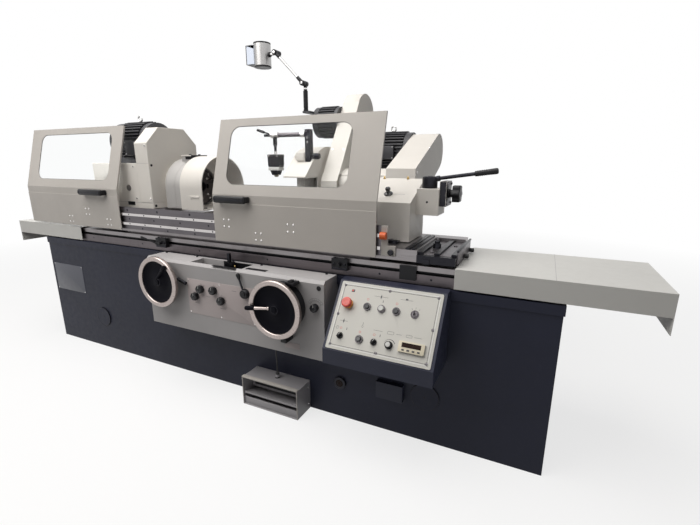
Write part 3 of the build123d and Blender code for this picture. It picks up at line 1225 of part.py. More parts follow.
def wheel_guard():
    """Wheel guard with a sloped front, open where the wheel meets the work, with the coolant yoke."""
    x_span = (GUARD_CASE_LEFT, GUARD_CASE_RIGHT)
    lip = [(GUARD_LIP_Y, GUARD_LIP_Z), (GUARD_LIP_Y, GUARD_LIP_Z - GUARD_LIP)]
    inner_lip = [(y, z - GUARD_LIP) for y, z in lip]
    inner_x = (x_span[0] + GUARD_CASE_WALL, x_span[1] - GUARD_CASE_WALL)
    inside = hull_x(inner_x, [(WHEEL_AXIS_Y, AXIS_Z, GUARD_CASE_R - GUARD_CASE_WALL)], inner_lip)
    case = hull_x(x_span, [(WHEEL_AXIS_Y, AXIS_Z, GUARD_CASE_R)], lip) - inside
    mouth_y = (WHEEL_AXIS_Y - 2 * GUARD_CASE_R, GUARD_MOUTH_Y)
    case -= block(x_span, mouth_y, (GUARD_CASE_LOW, GUARD_MOUTH_TOP))
    round_y = (WHEEL_AXIS_Y - GUARD_CASE_R, WHEEL_AXIS_Y + GUARD_CASE_R)
    case -= block(x_span, round_y, (AXIS_Z - 2 * GUARD_CASE_R, GUARD_CASE_LOW))
    case -= rod_x((inner_x[1], x_span[1]), WHEEL_AXIS_Y, AXIS_Z, WHEEL_SPINDLE_R + SLIDE_GAP)
    yoke_x = (ARM_YOKE_X - ARM_YOKE_WIDTH / 2, ARM_YOKE_X + ARM_YOKE_WIDTH / 2)
    yoke_y = (ARM_YOKE_Y, ARM_YOKE_Y + ARM_YOKE_WIDTH)
    yoke = block(yoke_x, yoke_y, (AXIS_Z + GUARD_CASE_R / 2, ARM_YOKE_TOP))
    yoke -= rod_x(yoke_x, ARM_YOKE_Y + ARM_YOKE_WIDTH / 2, ARM_ROD_Z, ARM_ROD_R + RUN_GAP)
    return case + (yoke - inside)


def wheel_spindle():
    """Wheel spindle with its wheel flange and belt pulley."""
    flange_x = (WHEEL_LEFT - WHEEL_FLANGE, WHEEL_LEFT)
    spindle_x = (flange_x[0], COVER_WHEEL_X + BELT_PULLEY_WIDTH / 2)
    spindle = rod_x(spindle_x, WHEEL_AXIS_Y, AXIS_Z, WHEEL_SPINDLE_R)
    spindle += rod_x(flange_x, WHEEL_AXIS_Y, AXIS_Z, WHEEL_FLANGE_R)
    spindle += rod_x((WHEEL_LEFT, WHEEL_LEFT + WHEEL_WIDTH), WHEEL_AXIS_Y, AXIS_Z, WHEEL_BORE_R)
    right_x = (WHEEL_LEFT + WHEEL_WIDTH, WHEEL_LEFT + WHEEL_WIDTH + WHEEL_FLANGE)
    spindle += rod_x(right_x, WHEEL_AXIS_Y, AXIS_Z, WHEEL_FLANGE_R)
    pulley_x = (COVER_WHEEL_X - BELT_PULLEY_WIDTH / 2, COVER_WHEEL_X + BELT_PULLEY_WIDTH / 2)
    return spindle + grooved_pulley(pulley_x, WHEEL_AXIS_Y, AXIS_Z, WHEEL_PULLEY_R)


def grinding_wheel():
    """Abrasive wheel between the flanges."""
    x_span = (WHEEL_LEFT, WHEEL_LEFT + WHEEL_WIDTH)
    wheel = rod_x(x_span, WHEEL_AXIS_Y, AXIS_Z, WHEEL_R)
    return wheel - rod_x(x_span, WHEEL_AXIS_Y, AXIS_Z, WHEEL_BORE_R)


def wheel_motor():
    """Main wheel motor, on the back of the wheelhead."""
    x_span = (HEAD_CASE_RIGHT - MAIN_MOTOR_LENGTH, HEAD_CASE_RIGHT)
    motor = finned_motor(x_span, MAIN_MOTOR_Y, MAIN_MOTOR_Z, MAIN_MOTOR_R, MAIN_MOTOR_FIN, MAIN_MOTOR_FINS)
    foot_y = (MAIN_MOTOR_Y - MAIN_MOTOR_R * 0.7, MAIN_MOTOR_Y + MAIN_MOTOR_R * 0.7)
    motor += block(x_span, foot_y, (HEAD_CASE_TOP, MAIN_MOTOR_Z - MAIN_MOTOR_R * 0.6))
    eye_z = MAIN_MOTOR_Z + MAIN_MOTOR_R + MAIN_MOTOR_FIN * 0.4
    motor += eye_bolt(x_span[0] + MAIN_MOTOR_LENGTH / 2, MAIN_MOTOR_Y, eye_z)
    bore = (HEAD_CASE_RIGHT - BELT_PULLEY_WIDTH, HEAD_CASE_RIGHT)
    return motor - rod_x(bore, MAIN_MOTOR_Y, MAIN_MOTOR_Z, MOTOR_SHAFT_R + RUN_GAP)


def wheel_motor_pulley():
    """Main motor shaft and pulley inside the belt cover."""
    pulley_x = (COVER_WHEEL_X - BELT_PULLEY_WIDTH / 2, COVER_WHEEL_X + BELT_PULLEY_WIDTH / 2)
    shaft_x = (HEAD_CASE_RIGHT - BELT_PULLEY_WIDTH + SLIDE_GAP, pulley_x[1])
    shaft = rod_x(shaft_x, MAIN_MOTOR_Y, MAIN_MOTOR_Z, MOTOR_SHAFT_R)
    return shaft + grooved_pulley(pulley_x, MAIN_MOTOR_Y, MAIN_MOTOR_Z, MAIN_PULLEY_R)


def wheel_belt_cover():
    """Belt cover from the wheel spindle up to the main motor, open towards the casting."""
    x_span = (HEAD_CASE_RIGHT, MAIN_COVER_RIGHT)
    front = [(MAIN_COVER_FRONT, MAIN_COVER_LOW), (MAIN_COVER_FRONT, MAIN_COVER_FRONT_TOP)]
    cover = hull_x(x_span, [(MAIN_MOTOR_Y, MAIN_MOTOR_Z, MAIN_COVER_BACK_R)], front)
    inner_x = (x_span[0], x_span[1] - MAIN_COVER_WALL)
    back = [(MAIN_MOTOR_Y, MAIN_MOTOR_Z, MAIN_COVER_BACK_R)]
    return cover - hull_x(inner_x, back, front, MAIN_COVER_WALL)


def internal_cover():
    """Tall belt cover of the internal grinding drive, rounded at the top."""
    x_span = (INNER_COVER_LEFT, INNER_COVER_LEFT + INNER_COVER_WIDTH)
    foot = [(INNER_COVER_FRONT, HEAD_CASE_TOP), (INNER_COVER_BACK, HEAD_CASE_TOP)]
    top = [(INNER_COVER_TOP_Y, INNER_COVER_TOP_Z, INNER_COVER_TOP_R)]
    cover = hull_x(x_span, top, foot)
    hollow_x = (x_span[0] + INNER_COVER_WALL, x_span[1] - INNER_COVER_WALL)
    hollow = hull_x(hollow_x, top, foot, INNER_COVER_WALL)
    barrel = SPINDLE_BARREL_R + INNER_COVER_WALL
    cover -= hollow - rod_x(x_span, WHEEL_AXIS_Y, AXIS_Z, barrel)
    return cover - rod_x(x_span, WHEEL_AXIS_Y, AXIS_Z, SPINDLE_BARREL_R)


def internal_motor():
    """Motor of the internal grinding drive, with the lamp bracket on its end."""
    x_span = (INNER_COVER_LEFT - INNER_MOTOR_LENGTH, INNER_COVER_LEFT)
    y, z = INNER_MOTOR_Y, INNER_MOTOR_Z
    motor = finned_motor(x_span, y, z, INNER_MOTOR_R, INNER_MOTOR_FIN, INNER_MOTOR_FINS)
    bracket_x = (LAMP_POST_X - LAMP_ELBOW_R, x_span[0])
    bracket_y = (LAMP_Y - LAMP_ELBOW_R, INNER_MOTOR_Y)
    return motor + block(bracket_x, bracket_y, (LAMP_POST_LOW - LAMP_BRACKET, LAMP_POST_LOW))


def coolant_arm():
    """Rod in the yoke with a clamp, a drop rod and the coolant nozzle."""
    rod_y_place = ARM_YOKE_Y + ARM_YOKE_WIDTH / 2
    rod_end = ARM_YOKE_X + ARM_YOKE_WIDTH / 2
    arm = rod_x((rod_end - ARM_ROD_LENGTH, rod_end), rod_y_place, ARM_ROD_Z, ARM_ROD_R)
    clamp_x = (ARM_DROP_X - ARM_CLAMP_LENGTH / 2, ARM_DROP_X + ARM_CLAMP_LENGTH / 2)
    arm += rod_x(clamp_x, rod_y_place, ARM_ROD_Z, ARM_CLAMP_R)
    arm += rod_z((NOZZLE_TOP, ARM_ROD_Z), ARM_DROP_X, rod_y_place, ARM_ROD_R)
    half = NOZZLE_WIDTH / 2
    neck = half / 3
    middle = (NOZZLE_TOP + NOZZLE_LOW) / 2
    outline = [(-half, NOZZLE_TOP), (half, NOZZLE_TOP), (half, middle), (neck, NOZZLE_LOW),
               (-neck, NOZZLE_LOW), (-half, middle)]
    front = Plane.XZ.offset(NOZZLE_DEPTH / 2 - rod_y_place)
    face = front * Pos(ARM_DROP_X, 0) * make_face(Polyline(*outline, close=True))
    return arm + extrude(face, amount=-NOZZLE_DEPTH)


def lamp_post():
    """Post of the work lamp, with its elbow boss."""
    elbow_y = (LAMP_Y - LAMP_ELBOW_R, LAMP_Y + LAMP_ELBOW_R)
    post = rod_z((LAMP_POST_LOW, LAMP_ELBOW_Z), LAMP_POST_X, LAMP_Y, LAMP_POST_R)
    return post + rod_y(elbow_y, LAMP_POST_X, LAMP_ELBOW_Z, LAMP_ELBOW_R)


def lamp_arm():
    """Arm of the work lamp, beside the post, with a boss at both ends."""
    near, far = LAMP_Y - LAMP_ELBOW_R - LAMP_ARM_SIDE, LAMP_Y - LAMP_ELBOW_R
    arm = rod_y((near, far), LAMP_POST_X, LAMP_ELBOW_Z, LAMP_ELBOW_R)
    arm += rod_y((near, far), LAMP_JOINT_X, LAMP_JOINT_Z, LAMP_ELBOW_R)
    middle = (near + far) / 2
    start = (LAMP_POST_X, middle, LAMP_ELBOW_Z)
    return arm + rod_between(start, (LAMP_JOINT_X, middle, LAMP_JOINT_Z), LAMP_ARM_R)


def lamp_head():
    """Lamp head: an upright half-round shell with a lens box, on a stem from the joint."""
    joint_y = (LAMP_Y - LAMP_ELBOW_R, LAMP_Y + LAMP_ELBOW_R)
    head = rod_y(joint_y, LAMP_JOINT_X, LAMP_JOINT_Z, LAMP_ELBOW_R)
    head += rod_x((LAMP_HEAD_X + LAMP_HEAD_R - LAMP_WALL, LAMP_JOINT_X), LAMP_Y, LAMP_JOINT_Z, LAMP_STEM_R)
    return head + lamp_shell(0) - lamp_shell(LAMP_WALL)


def lamp_shell(wall):
    """Outline of the lamp head, drawn in by a wall."""
    half = LAMP_HEAD_HEIGHT / 2 - wall
    shell = rod_z((LAMP_JOINT_Z - half, LAMP_JOINT_Z + half), LAMP_HEAD_X, LAMP_Y, LAMP_HEAD_R - wall)
    lens_x = (LAMP_HEAD_X - LAMP_LENS_REACH + wall, LAMP_HEAD_X)
    lens_y = (LAMP_Y - LAMP_LENS_WIDTH / 2 + wall, LAMP_Y + LAMP_LENS_WIDTH / 2 - wall)
    lens_half = LAMP_LENS_HEIGHT / 2 - wall
    return shell + block(lens_x, lens_y, (LAMP_JOINT_Z - lens_half, LAMP_JOINT_Z + lens_half))


os.makedirs("parts", exist_ok=True)

nodes = {
    "machine_bed": Compound(children=[front_bed(), rear_bed()]),
    "way_covers": Compound(children=[way_cover(-1), way_cover(1)]),
    "apron_housing": apron_housing(),
    "control_box": control_box(),
    "foot_switch_hood": foot_hood(),
    "foot_switch_cable": foot_cable(),
    "lower_table": lower_table(),
    "swivel_table": swivel_table(),
    "guard_rails": guard_rails(),
    "table_clamps": table_clamps(),
    "tailstock_body": tailstock_body(),
    "guard_left": guard_panel(GUARD_LEFT_X, WINDOW_LEFT_X, HANDLE_LEFT_X, CARRIAGES_LEFT),
    "guard_left_window": guard_pane(WINDOW_LEFT_X),
    "guard_right": guard_panel(GUARD_RIGHT_X, WINDOW_RIGHT_X, HANDLE_RIGHT_X, CARRIAGES_RIGHT),
    "guard_right_window": guard_pane(WINDOW_RIGHT_X),
    "headstock_body": headstock_body(),
    "chuck_hood": chuck_hood(),
    "headstock_belt_cover": headstock_cover(),
    "headstock_motor": headstock_motor(),
    "headstock_motor_pulley": headstock_pulley(),
    "work_spindle": work_spindle(),
    "chuck": chuck(),
    "tailstock_quill": tailstock_quill(),
    "quill_lever": quill_lever(),
    "quill_knob": quill_knob(),
    "tailstock_clamp_knob": clamp_knob(),
    "trip_dog_left": trip_dog(DOG_LEFT_X),
    "trip_dog_right": trip_dog(DOG_RIGHT_X),
    "reversing_lever": reversing_lever(),
    "wheel_slide": wheel_slide(),
    "wheelhead_body": wheelhead_body(),
    "wheel_guard": wheel_guard(),
    "wheel_belt_cover": wheel_belt_cover(),
    "wheelhead_motors": Compound(children=[wheel_motor(), internal_motor()]),
    "wheel_motor_pulley": wheel_motor_pulley(),
    "wheel_spindle": wheel_spindle(),
    "grinding_wheel": grinding_wheel(),
    "internal_belt_cover": internal_cover(),
    "coolant_arm": coolant_arm(),
    "lamp_post": lamp_post(),
    "lamp_arm": lamp_arm(),
    "lamp_head": lamp_head(),
    "table_handwheel": table_handwheel(),
    "infeed_handwheel": infeed_handwheel(),
    "start_lever": start_lever(),
    "feed_knob": stemmed_knob(FEED_KNOB_X, FEED_KNOB_Z, FEED_KNOB_R),
    "treadle": treadle(),
    "emergency_stop": emergency_stop(),
    "key_switch": selector(PANEL_COLUMNS[4], PANEL_ROW_1, 0.0),
    "mode_selector": selector(PANEL_COLUMNS[0], PANEL_ROW_2, SELECTOR_TURN),
    "coolant_selector": selector(PANEL_COLUMNS[2], PANEL_ROW_2, SELECTOR_TURN),
    "speed_knob": speed_knob(),
}
for index, place in enumerate(VALVE_PLACES, start=1):
    nodes[f"valve_knob_{index}"] = stemmed_knob(*place, VALVE_R)
button_names = ("wheel_start_button", "work_start_button", "work_stop_button", "cycle_button")
for name, place in zip(button_names, button_places()[1:]):
    nodes[name] = push_button(place)

for name, shape in nodes.items():
    export_step(shape, f"parts/{name}.step")
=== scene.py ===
import math

import bmesh
import bpy
from mathutils import Matrix, Vector


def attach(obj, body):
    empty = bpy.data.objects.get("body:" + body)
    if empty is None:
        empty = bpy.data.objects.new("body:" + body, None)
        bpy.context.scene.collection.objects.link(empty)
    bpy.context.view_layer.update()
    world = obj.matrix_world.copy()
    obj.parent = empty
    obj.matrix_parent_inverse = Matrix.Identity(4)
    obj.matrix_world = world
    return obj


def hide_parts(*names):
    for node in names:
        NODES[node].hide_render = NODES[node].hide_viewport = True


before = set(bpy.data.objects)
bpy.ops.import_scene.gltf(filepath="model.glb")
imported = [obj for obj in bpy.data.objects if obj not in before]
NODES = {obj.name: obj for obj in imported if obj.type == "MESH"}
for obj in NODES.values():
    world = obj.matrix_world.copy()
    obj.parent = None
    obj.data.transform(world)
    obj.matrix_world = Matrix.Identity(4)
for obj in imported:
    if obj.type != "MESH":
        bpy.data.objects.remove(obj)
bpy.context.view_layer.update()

# Main places on the machine, in metres
AXIS_Z = 1.048
BED_FACE_Y = -0.295
APRON_Y = -0.419
APRON_PLATE_Y = APRON_Y - 0.0013
HEAD_FACE_Y = -0.220
RAIL_FACE_Y = -0.295
RAIL_PLATE_Y = -0.286
TABLE_FACE_Y = -0.285
TABLE_TOP_Z = 0.848
CLAMP_TOP_Z = 0.832
UPPER_RAIL_Z = 0.900
LOWER_RAIL_Z = 0.847
DOG_FACE_Y = -0.307
FOOT_SWITCH_Y = -0.352
PANEL_TOP = Vector((0.0, -0.345, 0.708))
PANEL_FOOT = Vector((0.0, -0.520, 0.467))

# Thickness of the panel's plate, of folded sheet and of a printed mark
PANEL_PLATE = 0.003
SHEET = 0.0025
PRINT = 0.0003

# Directions, seen by someone who stands before the machine
RIGHT = Vector((1, 0, 0))
LEFT = Vector((-1, 0, 0))
FRONT = Vector((0, -1, 0))
UP = Vector((0, 0, 1))
DOWN = Vector((0, 0, -1))

# Sliding guards: an upright sheet, a fold, and a leaning sheet with a window
GUARD_Y = -0.3025
GUARD_LAP_Y = GUARD_Y - 0.002
GUARD_LOW_Z = 0.808
GUARD_LAP_Z = 0.998
GUARD_FOLD_Z = 1.038
GUARD_RISE = 0.353
GUARD_RUN = 0.099
GUARD_LEAN = math.atan2(GUARD_RUN, GUARD_RISE)
GUARD_SLOPE = math.hypot(GUARD_RISE, GUARD_RUN)
GUARD_RETURN = 0.0086
WINDOW_LOW_Z = 1.086
WINDOW_HIGH_Z = 1.356
WINDOW_CORNER = 0.052

# Controls on the panel: places along it and down from its top edge
UPPER_ROW = 0.101
LOWER_ROW = 0.235
STOP_PLACE = (0.753, UPPER_ROW)
WHEEL_START_PLACE = (0.837, UPPER_ROW)
WORK_START_PLACE = (0.898, UPPER_ROW)
WORK_STOP_PLACE = (0.960, UPPER_ROW)
KEY_PLACE = (1.034, UPPER_ROW)
MODE_PLACE = (0.753, LOWER_ROW)
CYCLE_PLACE = (0.837, LOWER_ROW)
COOLANT_PLACE = (0.898, LOWER_ROW)
SPEED_PLACE = (0.960, LOWER_ROW)
PANEL_MIDDLE = (0.916, 0.1489)
BEZEL_LIFT = 0.008

# Controls on the apron: places along it and up from the floor
VALVE_PLACES = ((-0.085, 0.542), (-0.047, 0.584), (0.036, 0.588), (0.083, 0.542))
FEED_PLACE = (0.604, 0.592)
TABLE_WHEEL_PLACE = (-0.297, 0.598)
INFEED_WHEEL_PLACE = (0.445, 0.580)
START_PLACE = (0.229, 0.599)


# Shader groups

def shader_group(name, inputs, outputs):
    """An empty node group with named sockets, and its input and output nodes."""
    group = bpy.data.node_groups.new(name, "ShaderNodeTree")
    for label, kind, value in inputs:
        socket = group.interface.new_socket(label, in_out="INPUT", socket_type="NodeSocket" + kind)
        socket.default_value = value
    for label, kind in outputs:
        group.interface.new_socket(label, in_out="OUTPUT", socket_type="NodeSocket" + kind)
    entry = group.nodes.new("NodeGroupInput")
    end = group.nodes.new("NodeGroupOutput")
    return group, entry, end


def set_or_link(tree, socket, value):
    """Gives an input a number, or a link where the value is a socket."""
    if isinstance(value, (int, float)):
        socket.default_value = value
    else:
        tree.links.new(value, socket)


def add_noise(tree, vector, scale, detail, rough=0.55):
    """A noise texture fed by a vector socket."""
    noise = tree.nodes.new("ShaderNodeTexNoise")
    noise.inputs["Detail"].default_value = detail
    noise.inputs["Roughness"].default_value = rough
    tree.links.new(vector, noise.inputs["Vector"])
    set_or_link(tree, noise.inputs["Scale"], scale)
    return noise.outputs["Fac"]


def add_math(tree, kind, first, second):
    """A math node of two sockets or numbers."""
    node = tree.nodes.new("ShaderNodeMath")
    node.operation = kind
    set_or_link(tree, node.inputs[0], first)
    set_or_link(tree, node.inputs[1], second)
    return node.outputs[0]


def add_range(tree, value, low, high, to_low, to_high):
    """A clamped map of a value from one range to another."""
    node = tree.nodes.new("ShaderNodeMapRange")
    for label, number in (("From Min", low), ("From Max", high), ("To Min", to_low), ("To Max", to_high)):
        set_or_link(tree, node.inputs[label], number)
    tree.links.new(value, node.inputs["Value"])
    return node.outputs["Result"]


def add_mix(tree, factor, first, second):
    """A mix of two colour sockets."""
    node = tree.nodes.new("ShaderNodeMix")
    node.data_type = "RGBA"
    tree.links.new(factor, node.inputs["Factor"])
    colours = [item for item in node.inputs if item.type == "RGBA"]
    tree.links.new(first, colours[0])
    tree.links.new(second, colours[1])
    return [item for item in node.outputs if item.type == "RGBA"][0]


def add_tone(tree, colour, value):
    """A colour made lighter or darker by a value socket."""
    tone = tree.nodes.new("ShaderNodeHueSaturation")
    tree.links.new(value, tone.inputs["Value"])
    tree.links.new(colour, tone.inputs["Color"])
    return tone.outputs["Color"]


SURFACE_OUTPUTS = [("Colour", "Color"), ("Roughness", "Float"), ("Height", "Float")]


def build_paint_group():
    """Sprayed paint: slow colour drift, faint rub marks and a fine peel in the film."""
    group, entry, end = shader_group(
        "sprayed_paint",
        [("Colour", "Color", (0.5, 0.5, 0.5, 1.0)), ("Rubbed Colour", "Color", (0.6, 0.6, 0.6, 1.0)),
         ("Drift", "Float", 0.06), ("Rub", "Float", 0.1), ("Peel Scale", "Float", 900.0),
         ("Low Roughness", "Float", 0.4), ("High Roughness", "Float", 0.55)],
        SURFACE_OUTPUTS)
    given = entry.outputs
    place = group.nodes.new("ShaderNodeTexCoord").outputs["Object"]
    drift = add_noise(group, place, scale=3.0, detail=4.0)
    rub = add_noise(group, place, scale=34.0, detail=6.0, rough=0.7)
    peel = add_noise(group, place, scale=given["Peel Scale"], detail=1.5)
    spread = add_range(group, drift, 0.3, 0.7, -1.0, 1.0)
    shade = add_math(group, "MULTIPLY", spread, given["Drift"])
    tone = add_tone(group, given["Colour"], add_math(group, "ADD", shade, 1.0))
    mask = add_math(group, "MULTIPLY", add_range(group, rub, 0.58, 0.75, 0.0, 1.0), given["Rub"])
    rough = add_range(group, rub, 0.35, 0.7, given["Low Roughness"], given["High Roughness"])
    group.links.new(add_mix(group, mask, tone, given["Rubbed Colour"]), end.inputs["Colour"])
    group.links.new(rough, end.inputs["Roughness"])
    group.links.new(peel, end.inputs["Height"])
    return group


def build_metal_group():
    """Ground or turned metal: fine lines along a stretch, with a few darker stains."""
    group, entry, end = shader_group(
        "ground_metal",
        [("Colour", "Color", (0.6, 0.6, 0.6, 1.0)), ("Stain Colour", "Color", (0.3, 0.28, 0.27, 1.0)),
         ("Stretch", "Vector", (4.0, 400.0, 400.0)), ("Stain", "Float", 0.25),
         ("Low Roughness", "Float", 0.2), ("High Roughness", "Float", 0.4)],
        SURFACE_OUTPUTS)
    given = entry.outputs
    place = group.nodes.new("ShaderNodeTexCoord").outputs["Object"]
    stretched = group.nodes.new("ShaderNodeVectorMath")
    stretched.operation = "MULTIPLY"
    group.links.new(place, stretched.inputs[0])
    group.links.new(given["Stretch"], stretched.inputs[1])
    lines = add_noise(group, stretched.outputs["Vector"], scale=1.0, detail=4.0, rough=0.65)
    stains = add_noise(group, place, scale=9.0, detail=5.0, rough=0.6)
    mask = add_math(group, "MULTIPLY", add_range(group, stains, 0.5, 0.72, 0.0, 1.0), given["Stain"])
    tone = add_tone(group, given["Colour"], add_range(group, lines, 0.3, 0.7, 0.88, 1.1))
    rough = add_range(group, lines, 0.3, 0.7, given["Low Roughness"], given["High Roughness"])
    group.links.new(add_mix(group, mask, tone, given["Stain Colour"]), end.inputs["Colour"])
    group.links.new(rough, end.inputs["Roughness"])
    group.links.new(lines, end.inputs["Height"])
    return group


def build_grain_group():
    """Moulded plastic and rubber: an even fine grain with handling marks."""
    group, entry, end = shader_group(
        "moulded_grain",
        [("Colour", "Color", (0.05, 0.05, 0.05, 1.0)), ("Grain Scale", "Float", 700.0),
         ("Low Roughness", "Float", 0.4), ("High Roughness", "Float", 0.6)],
        SURFACE_OUTPUTS)
    given = entry.outputs
    place = group.nodes.new("ShaderNodeTexCoord").outputs["Object"]
    grain = add_noise(group, place, scale=given["Grain Scale"], detail=2.0)
    marks = add_noise(group, place, scale=45.0, detail=4.0)
    tone = add_tone(group, given["Colour"], add_range(group, marks, 0.3, 0.7, 0.85, 1.18))
    rough = add_range(group, marks, 0.35, 0.65, given["Low Roughness"], given["High Roughness"])
    group.links.new(tone, end.inputs["Colour"])
    group.links.new(rough, end.inputs["Roughness"])
    group.links.new(grain, end.inputs["Height"])
    return group


PAINT = build_paint_group()
METAL = build_metal_group()
GRAIN = build_grain_group()


# Materials: a rough pair is the lowest and the highest roughness of a surface

BUMP_DEPTH = 0.0004


def finish_material(name, group, values, rough, bump, metallic=0.0, coat=0.0, specular=0.5):
    """A material whose colour, roughness and bump come from one shader group."""
    material = bpy.data.materials.new(name)
    material.use_nodes = True
    tree = material.node_tree
    shader = tree.nodes["Principled BSDF"]
    shader.inputs["Metallic"].default_value = metallic
    shader.inputs["Coat Weight"].default_value = coat
    shader.inputs["Specular IOR Level"].default_value = specular
    surface = tree.nodes.new("ShaderNodeGroup")
    surface.node_tree = group
    surface.inputs["Low Roughness"].default_value = rough[0]
    surface.inputs["High Roughness"].default_value = rough[1]
    for label, value in values.items():
        socket = surface.inputs[label]
        socket.default_value = (*value, 1.0) if socket.type == "RGBA" else value
    relief = tree.nodes.new("ShaderNodeBump")
    relief.inputs["Strength"].default_value = bump
    relief.inputs["Distance"].default_value = BUMP_DEPTH
    tree.links.new(surface.outputs["Colour"], shader.inputs["Base Color"])
    tree.links.new(surface.outputs["Roughness"], shader.inputs["Roughness"])
    tree.links.new(surface.outputs["Height"], relief.inputs["Height"])
    tree.links.new(relief.outputs["Normal"], shader.inputs["Normal"])
    return material


def paint(name, colour, rubbed, rough, drift, rub, peel=900.0, bump=0.08, specular=0.5):
    """Sprayed paint of one colour."""
    values = {"Colour": colour, "Rubbed Colour": rubbed, "Drift": drift, "Rub": rub, "Peel Scale": peel}
    return finish_material(name, PAINT, values, rough, bump, specular=specular)


def metal(name, colour, stretch, rough, stain, stain_colour=(0.25, 0.23, 0.22), bump=0.05):
    """Bare metal with lines along a stretch."""
    values = {"Colour": colour, "Stain Colour": stain_colour, "Stretch": stretch, "Stain": stain}
    return finish_material(name, METAL, values, rough, bump, metallic=1.0)


def moulded(name, colour, rough, grain=700.0, bump=0.08, coat=0.0, specular=0.5):
    """Moulded plastic or rubber of one colour."""
    values = {"Colour": colour, "Grain Scale": grain}
    return finish_material(name, GRAIN, values, rough, bump, coat=coat, specular=specular)


def glass(name, colour, roughness):
    """Clear glass or acrylic."""
    material = bpy.data.materials.new(name)
    material.use_nodes = True
    shader = material.node_tree.nodes["Principled BSDF"]
    shader.inputs["Base Color"].default_value = (*colour, 1.0)
    shader.inputs["Roughness"].default_value = roughness
    shader.inputs["Transmission Weight"].default_value = 1.0
    shader.inputs["IOR"].default_value = 1.1
    return material


NAVY = paint("bed_navy_paint", (0.017, 0.019, 0.034), (0.045, 0.047, 0.070), (0.4, 0.56),
             drift=0.16, rub=0.22, peel=260.0, bump=0.14, specular=0.2)
NAVY_BOX = paint("control_box_navy_paint", (0.026, 0.029, 0.050), (0.07, 0.073, 0.10), (0.3, 0.45),
                 drift=0.1, rub=0.15, specular=0.25)
WHITE = paint("casting_white_paint", (0.765, 0.733, 0.685), (0.80, 0.775, 0.735), (0.4, 0.58),
              drift=0.04, rub=0.08, peel=420.0)
# Painted shade: a darker grey copy of the casting white, standing for the shade on the tapered nose
NOSE_SHADE_GREY = paint("nose_painted_shade_grey", (0.50, 0.487, 0.475), (0.56, 0.545, 0.53), (0.4, 0.58),
                  drift=0.04, rub=0.08, peel=420.0)
SHEET_WHITE = paint("guard_white_paint", (0.50, 0.472, 0.44), (0.58, 0.555, 0.52), (0.42, 0.6),
                    drift=0.05, rub=0.1, peel=520.0, bump=0.12)
TRAY_WHITE = paint("tray_white_paint", (0.62, 0.615, 0.59), (0.54, 0.53, 0.51), (0.4, 0.55),
                   drift=0.05, rub=0.15, peel=520.0)
APRON_GREY = paint("apron_grey_paint", (0.40, 0.388, 0.39), (0.47, 0.455, 0.45), (0.4, 0.58),
                   drift=0.06, rub=0.12, peel=420.0, bump=0.12)
HOOD_GREY = paint("foot_switch_grey_paint", (0.38, 0.37, 0.385), (0.44, 0.43, 0.43), (0.4, 0.55),
                  drift=0.06, rub=0.2, peel=600.0)
MOTOR_DARK = paint("motor_dark_paint", (0.040, 0.040, 0.046), (0.10, 0.10, 0.105), (0.4, 0.6),
                   drift=0.12, rub=0.2, peel=600.0)
BADGE_GREY = paint("blank_badge_paint", (0.13, 0.12, 0.115), (0.2, 0.19, 0.18), (0.35, 0.5),
                   drift=0.1, rub=0.2)
BLANK_PLATE = paint("bare_name_plate", (0.10, 0.105, 0.13), (0.16, 0.165, 0.19), (0.3, 0.45),
                    drift=0.06, rub=0.1)
PANEL_FACE = paint("panel_face_paint", (0.56, 0.55, 0.51), (0.62, 0.61, 0.58), (0.34, 0.48),
                   drift=0.03, rub=0.08, peel=1400.0, bump=0.05)
PLATE_FACE = paint("apron_plate_print", (0.46, 0.405, 0.40), (0.52, 0.47, 0.46), (0.34, 0.48),
                   drift=0.05, rub=0.12, peel=1400.0)
MARK_INK = paint("print_ink", (0.08, 0.08, 0.085), (0.13, 0.13, 0.13), (0.4, 0.5), drift=0.05, rub=0.1)
CREAM = paint("display_cream_case", (0.66, 0.60, 0.46), (0.72, 0.67, 0.55), (0.35, 0.5),
              drift=0.03, rub=0.1)
PALE_MARK = paint("pale_scale_paint", (0.72, 0.72, 0.70), (0.6, 0.6, 0.58), (0.4, 0.5), drift=0.03, rub=0.1)
TABLE_STEEL = metal("table_ground_iron", (0.26, 0.244, 0.248), (5.0, 300.0, 300.0), (0.26, 0.44),
                    stain=0.45, stain_colour=(0.15, 0.125, 0.12), bump=0.07)
TABLE_DARK = metal("table_oiled_iron", (0.135, 0.119, 0.125), (5.0, 300.0, 300.0), (0.3, 0.46),
                   stain=0.4, stain_colour=(0.06, 0.055, 0.06))
RAIL_STEEL = metal("guard_rail_steel", (0.58, 0.555, 0.55), (3.0, 500.0, 500.0), (0.14, 0.26), stain=0.12)
PLATE_STEEL = metal("rail_plate_steel", (0.135, 0.125, 0.134), (4.0, 260.0, 260.0), (0.3, 0.5),
                    stain=0.3, stain_colour=(0.08, 0.072, 0.074))
BRIGHT = metal("turned_bright_steel", (0.72, 0.71, 0.70), (180.0, 180.0, 180.0), (0.12, 0.24), stain=0.1)
RIM_CHROME = metal("handwheel_rim_polish", (0.42, 0.365, 0.345), (140.0, 30.0, 140.0), (0.26, 0.36),
                   stain=0.08, stain_colour=(0.26, 0.23, 0.215))
BRASS = metal("oiler_brass", (0.62, 0.44, 0.17), (160.0, 160.0, 160.0), (0.2, 0.35),
              stain=0.15, stain_colour=(0.3, 0.2, 0.08))
LAMP_ALLOY = metal("lamp_brushed_alloy", (0.42, 0.415, 0.41), (260.0, 260.0, 5.0), (0.3, 0.45), stain=0.1)
BLACK_STEEL = metal("blackened_steel", (0.026, 0.026, 0.031), (160.0, 160.0, 160.0), (0.3, 0.48),
                    stain=0.2, stain_colour=(0.065, 0.06, 0.062))
CHUCK_DARK = metal("chuck_dark_steel", (0.10, 0.092, 0.092), (220.0, 220.0, 220.0), (0.28, 0.45),
                   stain=0.25, stain_colour=(0.3, 0.26, 0.24))
